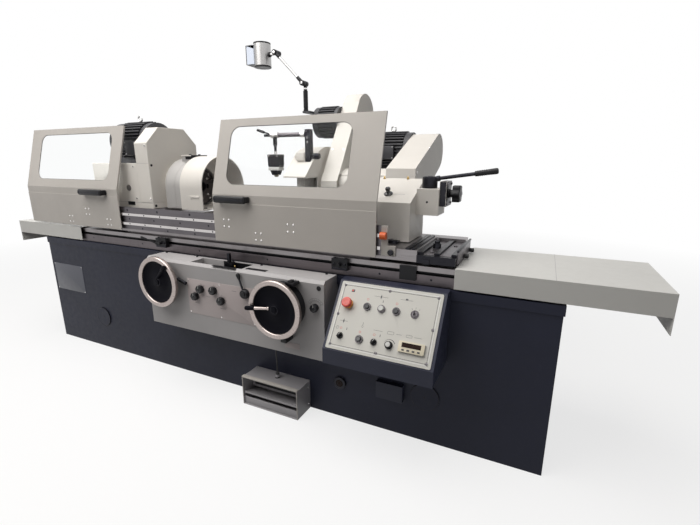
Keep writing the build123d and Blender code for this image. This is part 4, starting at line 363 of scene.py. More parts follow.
BLACK = moulded("black_plastic", (0.008, 0.008, 0.010), (0.28, 0.42), specular=0.25)
WEB_BLACK = moulded("handwheel_web_enamel", (0.005, 0.005, 0.008), (0.45, 0.6),
                    grain=400.0, bump=0.05, specular=0.05)
SATIN_BLACK = moulded("satin_black_enamel", (0.014, 0.014, 0.017), (0.22, 0.38),
                      grain=400.0, bump=0.05, coat=0.3)
RUBBER = moulded("black_rubber", (0.016, 0.016, 0.017), (0.55, 0.75), grain=500.0, bump=0.15)
GREY_CAP = moulded("grey_button_plastic", (0.055, 0.055, 0.060), (0.3, 0.42), specular=0.3)
WHITE_CAP = moulded("white_button_plastic", (0.55, 0.55, 0.53), (0.26, 0.38))
RED_CAP = moulded("red_button_plastic", (0.60, 0.050, 0.028), (0.24, 0.36),
                  grain=900.0, bump=0.03, coat=0.3)
ORANGE = moulded("orange_stop_plastic", (0.72, 0.12, 0.018), (0.34, 0.5))
YELLOW = moulded("yellow_base_plastic", (0.70, 0.30, 0.05), (0.34, 0.48))
ABRASIVE = moulded("bonded_abrasive", (0.72, 0.70, 0.66), (0.8, 0.95), grain=1300.0, bump=0.5)
SCREEN = moulded("display_screen", (0.020, 0.010, 0.007), (0.2, 0.3), grain=900.0, bump=0.01, specular=0.08)
WINDOW = glass("guard_window_acrylic", (0.96, 0.97, 0.97), 0.02)
LENS = glass("lamp_lens_glass", (0.80, 0.85, 0.95), 0.08)


# Mesh parts, each made about its own origin

CORNER_STEPS = 6


def bevel_edges(part, edges, width, segments):
    """Rounds some edges of a part."""
    bmesh.ops.bevel(part, geom=edges, offset=width, offset_type="OFFSET", segments=segments, profile=0.5,
                    affect="EDGES", clamp_overlap=True, material=-1)


def bevel_corners(part, corners, radius, segments):
    """Rounds some corners of a flat part."""
    bmesh.ops.bevel(part, geom=corners, offset=radius, offset_type="OFFSET", segments=segments, profile=0.5,
                    affect="VERTICES", clamp_overlap=True, material=-1)


def pull_up(part, height):
    """Thickens a flat part up to a height, and gives its upper vertices."""
    grown = bmesh.ops.extrude_face_region(part, geom=part.faces[:])
    top = [item for item in grown["geom"] if isinstance(item, bmesh.types.BMVert)]
    bmesh.ops.translate(part, vec=(0, 0, height), verts=top)
    return top


def box_part(low, high, bevel=0.0, segments=2):
    """A bevelled box between two corners."""
    part = bmesh.new()
    bmesh.ops.create_cube(part, size=1.0)
    size = Vector(high) - Vector(low)
    bmesh.ops.scale(part, vec=size, verts=part.verts)
    bmesh.ops.translate(part, vec=(Vector(high) + Vector(low)) / 2, verts=part.verts)
    if bevel:
        bevel_edges(part, part.edges[:], bevel, segments)
    return part


def plate_part(width, height, thick, corner, bevel=0.0):
    """A flat plate on local XY with rounded corners, from z 0 up to its thickness."""
    part = bmesh.new()
    bmesh.ops.create_cube(part, size=1.0)
    bmesh.ops.scale(part, vec=(width, height, thick), verts=part.verts)
    bmesh.ops.translate(part, vec=(0, 0, thick / 2), verts=part.verts)
    upright = [edge for edge in part.edges if abs(edge.verts[0].co.z - edge.verts[1].co.z) > thick / 2]
    bevel_edges(part, upright, corner, CORNER_STEPS)
    if bevel:
        rim = [edge for edge in part.edges if min(vert.co.z for vert in edge.verts) > thick * 0.99]
        bevel_edges(part, rim, bevel, 2)
    return part


def frame_part(width, height, corner, band, thick, corner_steps=CORNER_STEPS):
    """A flat frame on local XY with rounded corners, from z 0 up to its thickness."""
    part = bmesh.new()
    bmesh.ops.create_grid(part, x_segments=1, y_segments=1, size=0.5)
    bmesh.ops.scale(part, vec=(width, height, 1.0), verts=part.verts)
    bevel_corners(part, part.verts[:], corner, corner_steps)
    middle = part.faces[:]
    bmesh.ops.inset_region(part, faces=middle, thickness=band, depth=0.0, use_even_offset=True,
                           use_boundary=True)
    bmesh.ops.delete(part, geom=middle, context="FACES")
    pull_up(part, thick)
    bmesh.ops.recalc_face_normals(part, faces=part.faces)
    return part


def window_sheet(width, height, hole_low, hole_high, corner, thick):
    """A flat sheet on local XY, from z 0 up, with a rounded window between two corners."""
    part = bmesh.new()
    bmesh.ops.create_grid(part, x_segments=1, y_segments=1, size=0.5)
    bmesh.ops.scale(part, vec=(width, height, 1.0), verts=part.verts)
    outline = set(part.verts)
    bmesh.ops.create_grid(part, x_segments=1, y_segments=1, size=0.5)
    hole = [vert for vert in part.verts if vert not in outline]
    size = Vector((hole_high[0] - hole_low[0], hole_high[1] - hole_low[1], 1.0))
    bmesh.ops.scale(part, vec=size, verts=hole)
    middle = Vector(((hole_low[0] + hole_high[0]) / 2, (hole_low[1] + hole_high[1]) / 2, 0.0))
    bmesh.ops.translate(part, vec=middle, verts=hole)
    bevel_corners(part, hole, corner, 10)
    bmesh.ops.delete(part, geom=part.faces[:], context="FACES_ONLY")
    bmesh.ops.bridge_loops(part, edges=part.edges[:])
    pull_up(part, thick)
    bmesh.ops.recalc_face_normals(part, faces=part.faces)
    return part


def turned_part(profile, steps, closed=False):
    """A shape turned about local Z from (radius, height) points."""
    part = bmesh.new()
    verts = [part.verts.new((radius, 0, height)) for radius, height in profile]
    pairs = list(zip(verts, verts[1:]))
    if closed:
        pairs.append((verts[-1], verts[0]))
    edges = [part.edges.new(pair) for pair in pairs]
    bmesh.ops.spin(part, geom=verts + edges, cent=(0, 0, 0), axis=(0, 0, 1), angle=math.tau, steps=steps,
                   use_merge=True, use_duplicate=False)
    bmesh.ops.remove_doubles(part, verts=part.verts, dist=1e-6)
    bmesh.ops.recalc_face_normals(part, faces=part.faces)
    return part


def rounded_profile(inner, outer, low, high, edge, steps=4):
    """A closed (radius, height) outline of a ring with rounded edges."""
    corners = ((outer - edge, low + edge, -90), (outer - edge, high - edge, 0),
               (inner + edge, high - edge, 90), (inner + edge, low + edge, 180))
    points = []
    for radius, height, start in corners:
        for index in range(steps + 1):
            angle = math.radians(start + 90.0 * index / steps)
            points.append((radius + edge * math.cos(angle), height + edge * math.sin(angle)))
    return points


def rod_part(radius, length, edge, steps):
    """A round rod along local Z with softened ends."""
    edge = min(edge, radius * 0.9, length * 0.45)
    profile = [(0, 0), (radius - edge, 0), (radius, edge), (radius, length - edge), (radius - edge, length),
               (0, length)]
    return turned_part(profile, steps)


def ring_part(outer, inner, depth, edge, steps):
    """A flat ring about local Z, from z 0 up to its depth."""
    profile = [(inner, 0), (outer, 0), (outer, depth - edge), (outer - edge, depth), (inner + edge, depth),
               (inner, depth - edge)]
    return turned_part(profile, steps, closed=True)


def lobed_part(radius, lobes, depth, height, edge):
    """A knob with scalloped sides, along local Z."""
    part = bmesh.new()
    made = bmesh.ops.create_circle(part, cap_ends=True, segments=lobes * 8, radius=radius)
    for vert in made["verts"]:
        angle = math.atan2(vert.co.y, vert.co.x)
        vert.co *= 1.0 - depth * (0.5 - 0.5 * math.cos(lobes * angle))
    top = pull_up(part, height)
    rim = [item for item in part.edges if all(vert in top for vert in item.verts)]
    bevel_edges(part, rim, edge, 3)
    bmesh.ops.recalc_face_normals(part, faces=part.faces)
    return part


# Places that parts are put at

def facing(direction, origin):
    """A matrix that points local Z along a direction, from an origin."""
    turn = Vector(direction).to_track_quat("Z", "Y").to_matrix().to_4x4()
    return Matrix.Translation(Vector(origin)) @ turn


def raised(place, height):
    """The same place, moved along its local Z."""
    return place @ Matrix.Translation((0, 0, height))


def turned(place, degrees):
    """The same place, turned about its local Z."""
    return place @ Matrix.Rotation(math.radians(degrees), 4, "Z")


def on_panel(x, down, lift=PANEL_PLATE):
    """A matrix on the tilted panel: local X along it, local Y up it and local Z out of it."""
    slope = (PANEL_FOOT - PANEL_TOP).normalized()
    out = slope.cross(RIGHT)
    place = PANEL_TOP + RIGHT * x + slope * down + out * lift
    turn = Matrix((RIGHT, -slope, out)).transposed().to_4x4()
    return Matrix.Translation(place) @ turn


def on_front(x, z, y=APRON_Y):
    """A matrix on a face towards the front: local X along it, local Y up it and local Z out of it."""
    turn = Matrix((RIGHT, UP, FRONT)).transposed().to_4x4()
    return Matrix.Translation((x, y, z)) @ turn


def on_guard(x, up, lift=0.0):
    """A matrix on the leaning part of a guard, measured up from its fold."""
    slope = Vector((0, math.sin(GUARD_LEAN), math.cos(GUARD_LEAN)))
    out = RIGHT.cross(slope)
    turn = Matrix((RIGHT, slope, out)).transposed().to_4x4()
    return Matrix.Translation(Vector((x, GUARD_Y, GUARD_FOLD_Z)) + slope * up + out * lift) @ turn


# Pieces, built up from parts

SMOOTH_ANGLE = math.radians(32.0)


class Build:
    """A mesh in the making, with its finishes in the order of first use."""

    def __init__(self):
        self.mesh = bmesh.new()
        self.finishes = []

    def add(self, part, finish, place=None):
        """Takes in a part with its finish, at its place."""
        if finish not in self.finishes:
            self.finishes.append(finish)
        for face in part.faces:
            face.material_index = self.finishes.index(finish)
        if place is not None:
            bmesh.ops.transform(part, matrix=place, verts=part.verts)
        scratch = bpy.data.meshes.new("scratch")
        part.to_mesh(scratch)
        part.free()
        self.mesh.from_mesh(scratch)
        bpy.data.meshes.remove(scratch)

    def box(self, low, high, finish, bevel=0.0, segments=2):
        """Takes in a box that stands square to the machine."""
        self.add(box_part(low, high, bevel, segments), finish)


def make_piece(name, build, body):
    """Turns a mesh into a piece of the machine that rides on a body."""
    mesh = bpy.data.meshes.new(name)
    build.mesh.to_mesh(mesh)
    build.mesh.free()
    for finish in build.finishes:
        mesh.materials.append(finish)
    for polygon in mesh.polygons:
        polygon.use_smooth = True
    mesh.set_sharp_from_angle(angle=SMOOTH_ANGLE)
    piece = bpy.data.objects.new(name, mesh)
    bpy.context.scene.collection.objects.link(piece)
    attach(piece, body)
    return piece


def make_stand_in(node, build, body):
    """Makes a piece that is seen in place of a shape of the frame."""
    piece = make_piece(node + "_visual", build, body)
    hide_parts(node)


def socket_screw(build, place, radius, finish, hole_finish):
    """A socket-head screw: a round head with a dark hexagon in it."""
    height = radius * 0.7
    bore = radius * 0.55
    profile = [(0, 0), (radius, 0), (radius, height * 0.8), (radius * 0.86, height), (bore, height),
               (bore, height * 0.5), (0, height * 0.5)]
    build.add(turned_part(profile, 20), finish, place)
    build.add(turned_part([(0, height * 0.52), (radius * 0.54, height * 0.52)], 6), hole_finish, place)


def dome_screw(build, place, radius, finish):
    """A low domed screw head."""
    profile = [(radius, 0), (radius * 0.94, radius * 0.22), (radius * 0.6, radius * 0.42),
               (0, radius * 0.5)]
    build.add(turned_part(profile, 16), finish, place)


def flush_hole(build, place, radius):
    """A sunk socket screw seen as a dark disc with a thin lip."""
    profile = [(radius, 0.0), (radius * 0.94, 0.0002), (0, 0.0002)]
    build.add(turned_part(profile, 20), BLACK_STEEL, place)


def print_bar(build, place, width, low, high, thick=PRINT):
    """A printed bar on a face, from one height to another along local Y."""
    build.add(box_part((-width / 2, low, 0.0), (width / 2, high, thick)), MARK_INK, place)


# Finishes of the shapes that stay as they are

FAR = 9.0


def dress(node, *finishes):
    """Gives a shape of the frame its finishes."""
    mesh = NODES[node].data
    mesh.materials.clear()
    for finish in finishes:
        mesh.materials.append(finish)


def tint(node, finish, low, high):
    """Gives the faces of a shape between two corners another of its finishes."""
    mesh = NODES[node].data
    index = mesh.materials.find(finish.name)
    for polygon in mesh.polygons:
        centre = polygon.center
        if all(low[axis] <= centre[axis] <= high[axis] for axis in range(3)):
            polygon.material_index = index


def soften(node, width):
    """Rounds the edges of a shape."""
    shape = NODES[node]
    weld = shape.modifiers.new("weld", "WELD")
    weld.merge_threshold = 0.00002
    bevel = shape.modifiers.new("soft_edge", "BEVEL")
    bevel.width = width
    bevel.segments = 2
    bevel.limit_method = "ANGLE"
    bevel.angle_limit = math.radians(40)
    bevel.harden_normals = False


def dress_frame_shapes():
    """Finishes and softened edges of the shapes that stay as they are."""
    plain = (
        (NAVY, ("machine_bed",)),
        (TRAY_WHITE, ("way_covers",)),
        (APRON_GREY, ("apron_housing",)),
        (HOOD_GREY, ("foot_switch_hood", "treadle")),
        (TABLE_STEEL, ("swivel_table",)),
        (WHITE, ("tailstock_body", "headstock_belt_cover", "wheel_slide", "wheelhead_body",
                 "wheel_belt_cover", "internal_belt_cover")),
        (WINDOW, ("guard_left_window", "guard_right_window")),
        (BLACK_STEEL, ("table_clamps", "headstock_motor_pulley", "reversing_lever", "wheel_motor_pulley",
                       "coolant_arm")),
        (BLACK, ("trip_dog_left", "trip_dog_right")),
        (BRIGHT, ("work_spindle", "tailstock_quill", "wheel_spindle")),
        (CHUCK_DARK, ("chuck",)),
        (ABRASIVE, ("grinding_wheel",)),
    )
    for finish, nodes in plain:
        for node in nodes:
            dress(node, finish)
    dress("control_box", NAVY_BOX, PANEL_FACE)
    dress("wheel_guard", WHITE, BLACK_STEEL)
    dress("headstock_body", WHITE, NOSE_SHADE_GREY)
    dress("chuck_hood", WHITE, NOSE_SHADE_GREY)
    dress("guard_rails", PLATE_STEEL, RAIL_STEEL, ORANGE)
    dress("lower_table", TABLE_STEEL, BLACK, TABLE_DARK)
    dress("headstock_motor", MOTOR_DARK, BRIGHT)
    dress("wheelhead_motors", MOTOR_DARK, BRIGHT)
    edges = (
        (0.0008, ("way_covers",)),
        (0.0010, ("foot_switch_hood",)),
        (0.0012, ("swivel_table", "lower_table", "control_box")),
        (0.0015, ("chuck_hood", "table_clamps", "chuck", "coolant_arm", "reversing_lever")),
        (0.0020, ("trip_dog_left", "trip_dog_right")),
        (0.0030, ("headstock_belt_cover", "tailstock_body", "wheel_belt_cover")),
        (0.0040, ("machine_bed", "wheel_slide", "internal_belt_cover")),
        (0.0050, ("headstock_body", "wheelhead_body")),
        (0.0060, ("apron_housing",)),
    )
    for width, nodes in edges:
        for node in nodes:
            soften(node, width)


def paint_regions():
    """Second finishes on shapes of more than one finish."""
    tint("guard_rails", RAIL_STEEL, (-FAR, -FAR, 0.839), (FAR, -0.2861, 0.855))
    tint("guard_rails", RAIL_STEEL, (-FAR, -FAR, 0.892), (FAR, -0.2861, 0.908))
    tint("guard_rails", ORANGE, (0.8439, -0.32, 0.884), (0.8705, -0.2862, 0.916))
    tint("lower_table", BLACK, (0.92, -0.31, 0.7), (1.01, -0.2851, 0.79))
    # Painted shade: the inside of the slot along the table's front is tinted black where shade falls
    tint("lower_table", BLACK, (-FAR, -0.2849, 0.7465), (FAR, -0.266, 0.7735))
    tint("lower_table", TABLE_DARK, (-FAR, -0.2851, 0.7), (FAR, -0.2849, 0.7475))
    # Painted shade: the tapered nose of the headstock and of the hood takes the darker grey in place of its
    # shade
    tint("headstock_body", NOSE_SHADE_GREY, (-0.5305, -0.17, 0.92), (-0.4715, 0.17, 1.23))
    tint("chuck_hood", NOSE_SHADE_GREY, (-0.4725, -0.17, 0.92), (-0.4015, 0.17, 1.23))
    tint("wheel_guard", BLACK_STEEL, (0.1505, 0.2615, 1.2), (0.1855, 0.2965, 1.38))
    tint("headstock_motor", BRIGHT, (-0.9, -0.1, 1.4235), (-0.7, 0.1, 1.5))
    tint("wheelhead_motors", BRIGHT, (0.4, 0.8, 1.3865), (0.56, 0.9, 1.5))
    out = (PANEL_FOOT - PANEL_TOP).normalized().cross(RIGHT)
    box = NODES["control_box"].data
    for polygon in box.polygons:
        if (polygon.center - PANEL_TOP).dot(out) > 0.0003:
            polygon.material_index = box.materials.find(PANEL_FACE.name)


dress_frame_shapes()
paint_regions()


# Handwheels, knobs and levers on the apron

DRUM_DIVISIONS = 100


def make_handwheel(node, body, place, reach, crank, crank_finish, drum):
    """Handwheel: polished rim, dished web, hub, folded crank and, where it has one, a graduated drum."""
    build = Build()
    base = on_front(*place)
    rim = rounded_profile(0.108, 0.132, reach, reach + 0.024, 0.007)
    build.add(turned_part(rim, 96, closed=True), RIM_CHROME, base)
    web = [(0.026, reach + 0.013), (0.052, reach + 0.005), (0.092, reach + 0.005), (0.1095, reach + 0.015),
           (0.1095, reach + 0.007), (0.026, reach)]
    build.add(turned_part(web, 64, closed=True), WEB_BLACK, base)
    hub = [(0, reach + 0.021), (0.011, reach + 0.021), (0.012, reach + 0.020), (0.012, reach + 0.016),
           (0.022, reach + 0.016), (0.024, reach + 0.014), (0.030, reach + 0.011), (0.030, 0.0), (0, 0.0)]
    build.add(turned_part(hub, 40), WEB_BLACK, base)
    build.add(ring_part(0.019, 0.0165, 0.0012, 0.0003, 40), BLACK_STEEL, raised(base, reach + 0.0155))
    root, tip = Vector(crank[0]), Vector(crank[1])
    along = facing(tip - root, root)
    length = (tip - root).length
    shank = [(0, 0.0), (0.0090, 0.0), (0.0090, 0.006), (0.0068, 0.009), (0.0074, length - 0.044),
             (0, length - 0.044)]
    build.add(turned_part(shank, 24), crank_finish, along)
    knob = [(0, length - 0.045), (0.0076, length - 0.045), (0.0100, length - 0.039),
            (0.0106, length - 0.014), (0.0086, length - 0.004), (0, length)]
    build.add(turned_part(knob, 24), WEB_BLACK, along)
    if drum:
        band = rounded_profile(0.098, 0.108, 0.0, reach + 0.001, 0.0015, 2)
        build.add(turned_part(band, 96, closed=True), BLACK, base)
        add_drum_scale(build, base, 0.1079, reach - 0.006)
    make_stand_in(node, build, body)


def add_drum_scale(build, base, radius, edge):
    """Pale division lines round a graduated drum, every fifth and tenth one longer."""
    for index in range(DRUM_DIVISIONS):
        length = 0.016 if index % 10 == 0 else 0.011 if index % 5 == 0 else 0.007
        tick = box_part((radius - 0.0006, -0.0004, edge - length), (radius + 0.0003, 0.0004, edge))
        build.add(tick, PALE_MARK, turned(base, 360.0 * index / DRUM_DIVISIONS))


def make_apron_knob(node, body, place, radius, lobes):
    """Fluted black knob on a collar, with a pale pointer line."""
    build = Build()
    base = on_front(*place)
    collar = [(0, 0), (radius * 0.85, 0), (radius * 0.80, 0.004), (radius * 0.62, 0.006), (0, 0.006)]
    build.add(turned_part(collar, 28), BLACK, base)
    build.add(lobed_part(radius, lobes, 0.09, 0.018, 0.003), BLACK, raised(base, 0.006))
    dish = [(0, 0.0238), (radius * 0.5, 0.0238), (radius * 0.55, 0.0246), (radius * 0.62, 0.0240)]
    build.add(turned_part(dish, 28), SATIN_BLACK, base)
    pointer = box_part((-0.0008, radius * 0.25, 0.0235), (0.0008, radius * 0.88, 0.0246), 0.0002, 1)
    build.add(pointer, PALE_MARK, base)
    make_stand_in(node, build, body)


def make_start_lever():
    """Start lever: stepped black hub, thin stick and a pear-shaped grip."""
    build = Build()
    x, z = START_PLACE
    hub = [(0, 0.024), (0.010, 0.024), (0.011, 0.023), (0.011, 0.020), (0.019, 0.020), (0.021, 0.018),
           (0.024, 0.006), (0.024, 0.0), (0, 0.0)]
    build.add(turned_part(hub, 36), BLACK, on_front(x, z))
    lean = math.radians(18.0)
    along = Vector((-math.sin(lean), 0, math.cos(lean)))
    stick = facing(along, Vector((x, APRON_Y - 0.012, z)))
    build.add(rod_part(0.0048, 0.088, 0.001, 16), BLACK_STEEL, stick)
    grip = [(0, 0.070), (0.0055, 0.070), (0.0075, 0.078), (0.0098, 0.090), (0.0092, 0.097),
            (0.0055, 0.1015), (0, 0.1025)]
    build.add(turned_part(grip, 24), BLACK, stick)
    make_stand_in("start_lever", build, "start_handle")


make_handwheel("table_handwheel", "table_wheel", TABLE_WHEEL_PLACE, reach=0.034,
               crank=((-0.318, -0.460, 0.603), (-0.207, -0.490, 0.695)), crank_finish=WEB_BLACK, drum=False)
make_handwheel("infeed_handwheel", "infeed_wheel", INFEED_WHEEL_PLACE, reach=0.064,
               crank=((0.411, -0.489, 0.579), (0.309, -0.527, 0.578)), crank_finish=RIM_CHROME, drum=True)
for number, valve_place in enumerate(VALVE_PLACES, start=1):
    make_apron_knob("valve_knob_%d" % number, "valve_%d" % number, valve_place, radius=0.0205, lobes=6)
make_apron_knob("feed_knob", "feed_setting", FEED_PLACE, radius=0.018, lobes=8)
make_start_lever()


# Fixed details of the apron

def make_apron_details():
    """Bare function plate with its screws and short marks, plug, drum stop, feed scale and pan fittings."""
    build = Build()
    left, right, low, high = -0.141, 0.282, 0.444, 0.627
    inset = 0.009
    middle_x, middle_z = (left + right) / 2, (low + high) / 2
    plate = plate_part(right - left, high - low, 0.0014, 0.003, 0.0003)
    build.add(plate, PLATE_FACE, on_front(middle_x, middle_z))
    for x in (left + inset, middle_x, right - inset):
        for z in (low + inset, high - inset):
            dome_screw(build, on_front(x, z, APRON_PLATE_Y), 0.0036, BRIGHT)
    for x, z in VALVE_PLACES:
        place = on_front(x, z, APRON_PLATE_Y)
        build.add(ring_part(0.0205, 0.0198, PRINT, 0.0001, 40), MARK_INK, place)
        for degrees in (-50, 0, 50):
            print_bar(build, turned(place, degrees), 0.0012, 0.022, 0.028)
    lines = ((-0.085, 0.505, 0.030), (0.083, 0.500, 0.036), (-0.005, 0.548, 0.024), (0.160, 0.600, 0.028))
    for x, z, width in lines:
        print_bar(build, on_front(x, z, APRON_PLATE_Y), width, -0.0007, 0.0007)
    add_feed_scale(build)
    add_apron_fittings(build)
    make_piece("apron_details", build, "bed")


def add_feed_scale(build):
    """Printed arc of ticks above the feed knob, and a thin line over them."""
    centre = on_front(*FEED_PLACE)
    tick_radius = 0.026
    for index in range(15):
        length = 0.010 if index % 2 == 0 else 0.006
        print_bar(build, turned(centre, -62 + index * 9.0), 0.0014, tick_radius, tick_radius + length)
    for index in range(13):
        print_bar(build, turned(centre, -59 + index * 9.7), 0.0052, 0.0392, 0.0404)


def add_apron_fittings(build):
    """Hole plug, drum stop, lower tab, dark pan lining and the small oil fittings in the pan."""
    plug = [(0, 0.003), (0.008, 0.003), (0.0105, 0.0015), (0.0105, 0.0), (0, 0.0)]
    build.add(turned_part(plug, 32), BLACK, on_front(0.621, 0.678))
    build.box((0.486, -0.470, 0.686), (0.528, -0.421, 0.702), BLACK, 0.002)
    build.box((0.497, -0.466, 0.700), (0.517, -0.440, 0.709), BLACK, 0.002)
    socket_screw(build, facing(UP, (0.507, -0.428, 0.702)), 0.005, BRIGHT, BLACK)
    build.add(plate_part(0.078, 0.028, 0.0012, 0.002, 0.0003), PLATE_FACE, on_front(0.478, 0.387))
    build.box((0.456, -0.478, 0.424), (0.486, -0.421, 0.444), BLACK, 0.002)
    pin = facing((0.055, -0.010, -0.010), (-0.200, -0.424, 0.616))
    build.add(rod_part(0.009, 0.070, 0.002, 20), BLACK_STEEL, pin)
    floor_z, rim_z = 0.6752, 0.7096
    build.box((-0.1195, -0.4045, 0.6741), (0.1995, -0.3185, floor_z), BLACK)
    for y in (-0.4045, -0.3200):
        build.box((0.0160, y, floor_z), (0.1995, y + 0.0015, rim_z), BLACK)
    build.box((0.1980, -0.4045, floor_z), (0.1995, -0.3185, rim_z), BLACK)
    build.box((0.0300, -0.4192, rim_z), (0.1720, -0.4030, 0.7104), BLACK)
    build.box((-0.085, -0.392, floor_z), (0.010, -0.334, 0.682), APRON_GREY, 0.002)
    socket_screw(build, facing(UP, (-0.0375, -0.363, 0.682)), 0.008, BRIGHT, BLACK)
    build.add(rod_part(0.008, 0.022, 0.002, 24), BRASS, facing(UP, (0.128, -0.366, floor_z)))
    build.add(rod_part(0.0045, 0.012, 0.001, 16), BRASS, facing(UP, (0.128, -0.366, 0.697)))
    build.box((0.215, -0.398, rim_z), (0.330, -0.372, 0.7106), BLACK_STEEL, 0.0003, 1)
    for x in (-0.395, -0.17, 0.245, 0.60):
        socket_screw(build, facing(UP, (x, -0.312, 0.7095)), 0.006, BLACK_STEEL, BLACK)


make_apron_details()


# Panel of the control box

def make_panel_details():
    """Frame lines, screws, bezels, printed signs and display of the control panel."""
    build = Build()
    centre = on_panel(*PANEL_MIDDLE)
    build.add(frame_part(0.408, 0.266, 0.010, 0.0030, 0.0008), PALE_MARK, centre)
    build.add(frame_part(0.396, 0.254, 0.008, 0.0016, 0.0004), MARK_INK, centre)
    for x in (0.719, PANEL_MIDDLE[0], 1.113):
        for down in (0.0227, PANEL_MIDDLE[1], 0.2751):
            if (x, down) != PANEL_MIDDLE:
                add_panel_screw(build, on_panel(x, down))
    for place in (WHEEL_START_PLACE, WORK_START_PLACE, WORK_STOP_PLACE, CYCLE_PLACE):
        build.add(ring_part(0.0158, 0.0116, 0.0072, 0.0012, 40), PLATE_STEEL, on_panel(*place))
    build.add(ring_part(0.0205, 0.0116, 0.0085, 0.0015, 48), YELLOW, on_panel(*STOP_PLACE))
    build.add(ring_part(0.0165, 0.0135, 0.0030, 0.0008, 40), PLATE_STEEL, on_panel(*KEY_PLACE))
    add_panel_signs(build)
    add_display(build)
    make_piece("panel_details", build, "bed")


def add_panel_screw(build, place):
    """Slotted screw in a dark ring."""
    build.add(ring_part(0.0066, 0.0054, 0.0007, 0.0002, 28), MARK_INK, place)
    dome_screw(build, place, 0.0050, PLATE_STEEL)
    print_bar(build, place, 0.0080, -0.0005, 0.0005, thick=0.0027)


def add_panel_signs(build):
    """Plain generic signs: an indicator, axis lines, dots, small rings and setting arcs."""
    build.add(plate_part(0.014, 0.011, 0.0012, 0.001, 0.0003), MARK_INK, on_panel(0.760, 0.043))
    build.add(plate_part(0.007, 0.007, 0.0020, 0.001, 0.0003), RED_CAP, on_panel(0.7585, 0.043))
    lines = ((0.886, 0.052, 0.058, 0.0011), (0.992, 0.050, 0.050, 0.0011), (0.753, 0.174, 0.034, 0.0011),
             (0.905, 0.188, 0.036, 0.0010), (0.990, 0.188, 0.022, 0.0010), (1.065, 0.188, 0.030, 0.0010))
    for x, down, width, height in lines:
        print_bar(build, on_panel(x, down), width, -height / 2, height / 2)
    for place in ((0.886, 0.052), (0.753, 0.174)):
        print_bar(build, on_panel(*place), 0.0016, -0.009, 0.009)
        print_bar(build, on_panel(*place), 0.0052, -0.005, 0.005, thick=0.0004)
    print_bar(build, on_panel(0.992, 0.048), 0.010, -0.003, 0.004, thick=0.0004)
    build.add(frame_part(0.026, 0.012, 0.003, 0.0010, PRINT), MARK_INK, on_panel(0.957, 0.188))
    build.add(frame_part(0.024, 0.010, 0.003, 0.0010, PRINT), MARK_INK, on_panel(1.030, 0.188))
    for x, down in ((0.833, 0.070), (0.956, 0.070), (0.749, 0.204), (0.833, 0.206), (0.894, 0.206)):
        build.add(ring_part(0.0046, 0.0034, PRINT, 0.0001, 24), RED_CAP, on_panel(x, down))
    for x, down in ((0.898, 0.070), (0.775, 0.204), (0.918, 0.206)):
        print_bar(build, on_panel(x, down), 0.0024, -0.005, 0.005)
    build.add(ring_part(0.0062, 0.0052, PRINT, 0.0001, 28), MARK_INK, on_panel(0.733, 0.204))
    build.add(ring_part(0.0042, 0.0033, PRINT, 0.0001, 24), MARK_INK, on_panel(0.837, 0.183))
    print_bar(build, on_panel(0.838, 0.172), 0.0012, -0.006, 0.006)
    arc_radius = 0.0215
    for index in range(9):
        high = arc_radius + 0.0006 + 0.0003 * index
        print_bar(build, turned(on_panel(*SPEED_PLACE), 60 - index * 15), 0.006, arc_radius, high)
    for degrees in (-35, 0, 35):
        print_bar(build, turned(on_panel(*KEY_PLACE), degrees), 0.0012, 0.021, 0.028)


def add_display(build):
    """Counter: cream case with a dark screen and four keys under it."""
    base = on_panel(1.049, 0.230, 0.013)
    build.add(plate_part(0.0992, 0.0412, 0.0016, 0.003, 0.0008), CREAM, base)
    screen = base @ Matrix.Translation((0, 0.006, 0.0))
    build.add(frame_part(0.078, 0.022, 0.002, 0.0022, 0.0022), CREAM, screen)
    build.add(plate_part(0.074, 0.018, 0.0018, 0.001), SCREEN, screen)
    for index in range(4):
        key = base @ Matrix.Translation((-0.030 + index * 0.020, -0.0125, 0.0014))
        build.add(plate_part(0.010, 0.006, 0.0014, 0.0012, 0.0004), GREY_CAP, key)


make_panel_details()


# Buttons and switches on the panel

def make_button(node, place, finish):
    """Push-button cap with a rounded edge and a shallow dish, in a black ring."""
    build = Build()
    cap = [(0, 0.0004), (0.0108, 0.0004), (0.0108, 0.0078), (0.0098, 0.0092), (0.0086, 0.0094),
           (0.0074, 0.0084), (0, 0.0080)]
    build.add(turned_part(cap, 36), finish, on_panel(*place, BEZEL_LIFT))
    build.add(ring_part(0.0109, 0.0102, 0.0026, 0.0004, 36), BLACK, on_panel(*place, BEZEL_LIFT + 0.0006))
    make_stand_in(node, build, node + "_cap")


def make_emergency_stop():
    """Red mushroom button on an orange skirt."""
    build = Build()
    base = on_panel(*STOP_PLACE, BEZEL_LIFT)
    stem = [(0, 0.0004), (0.0105, 0.0004), (0.0105, 0.009), (0.0175, 0.0095), (0.0205, 0.011),
            (0.0215, 0.014), (0, 0.014)]
    build.add(turned_part(stem, 40), ORANGE, base)
    head = [(0, 0.0125), (0.0212, 0.0125), (0.0220, 0.0150), (0.0218, 0.0195), (0.0196, 0.0232),
            (0.0150, 0.0248), (0.0100, 0.0240), (0, 0.0236)]
    build.add(turned_part(head, 48), RED_CAP, base)
    make_stand_in("emergency_stop", build, "stop_button")


def make_selector(node, body, place):
    """Rotary switch: round skirt with a tapered grip bar and a pale pointer."""
    build = Build()
    base = on_panel(*place)
    skirt = [(0, 0.0), (0.0130, 0.0), (0.0130, 0.0035), (0.0112, 0.0058), (0, 0.0060)]
    build.add(turned_part(skirt, 36), BLACK, base)
    grip = turned(base, -35.0)
    build.add(box_part((-0.0042, -0.0108, 0.005), (0.0042, 0.0108, 0.0195), 0.0024, 3), BLACK, grip)
    build.add(box_part((-0.0007, 0.0015, 0.0190), (0.0007, 0.0095, 0.0198)), PALE_MARK, grip)
    make_stand_in(node, build, body)


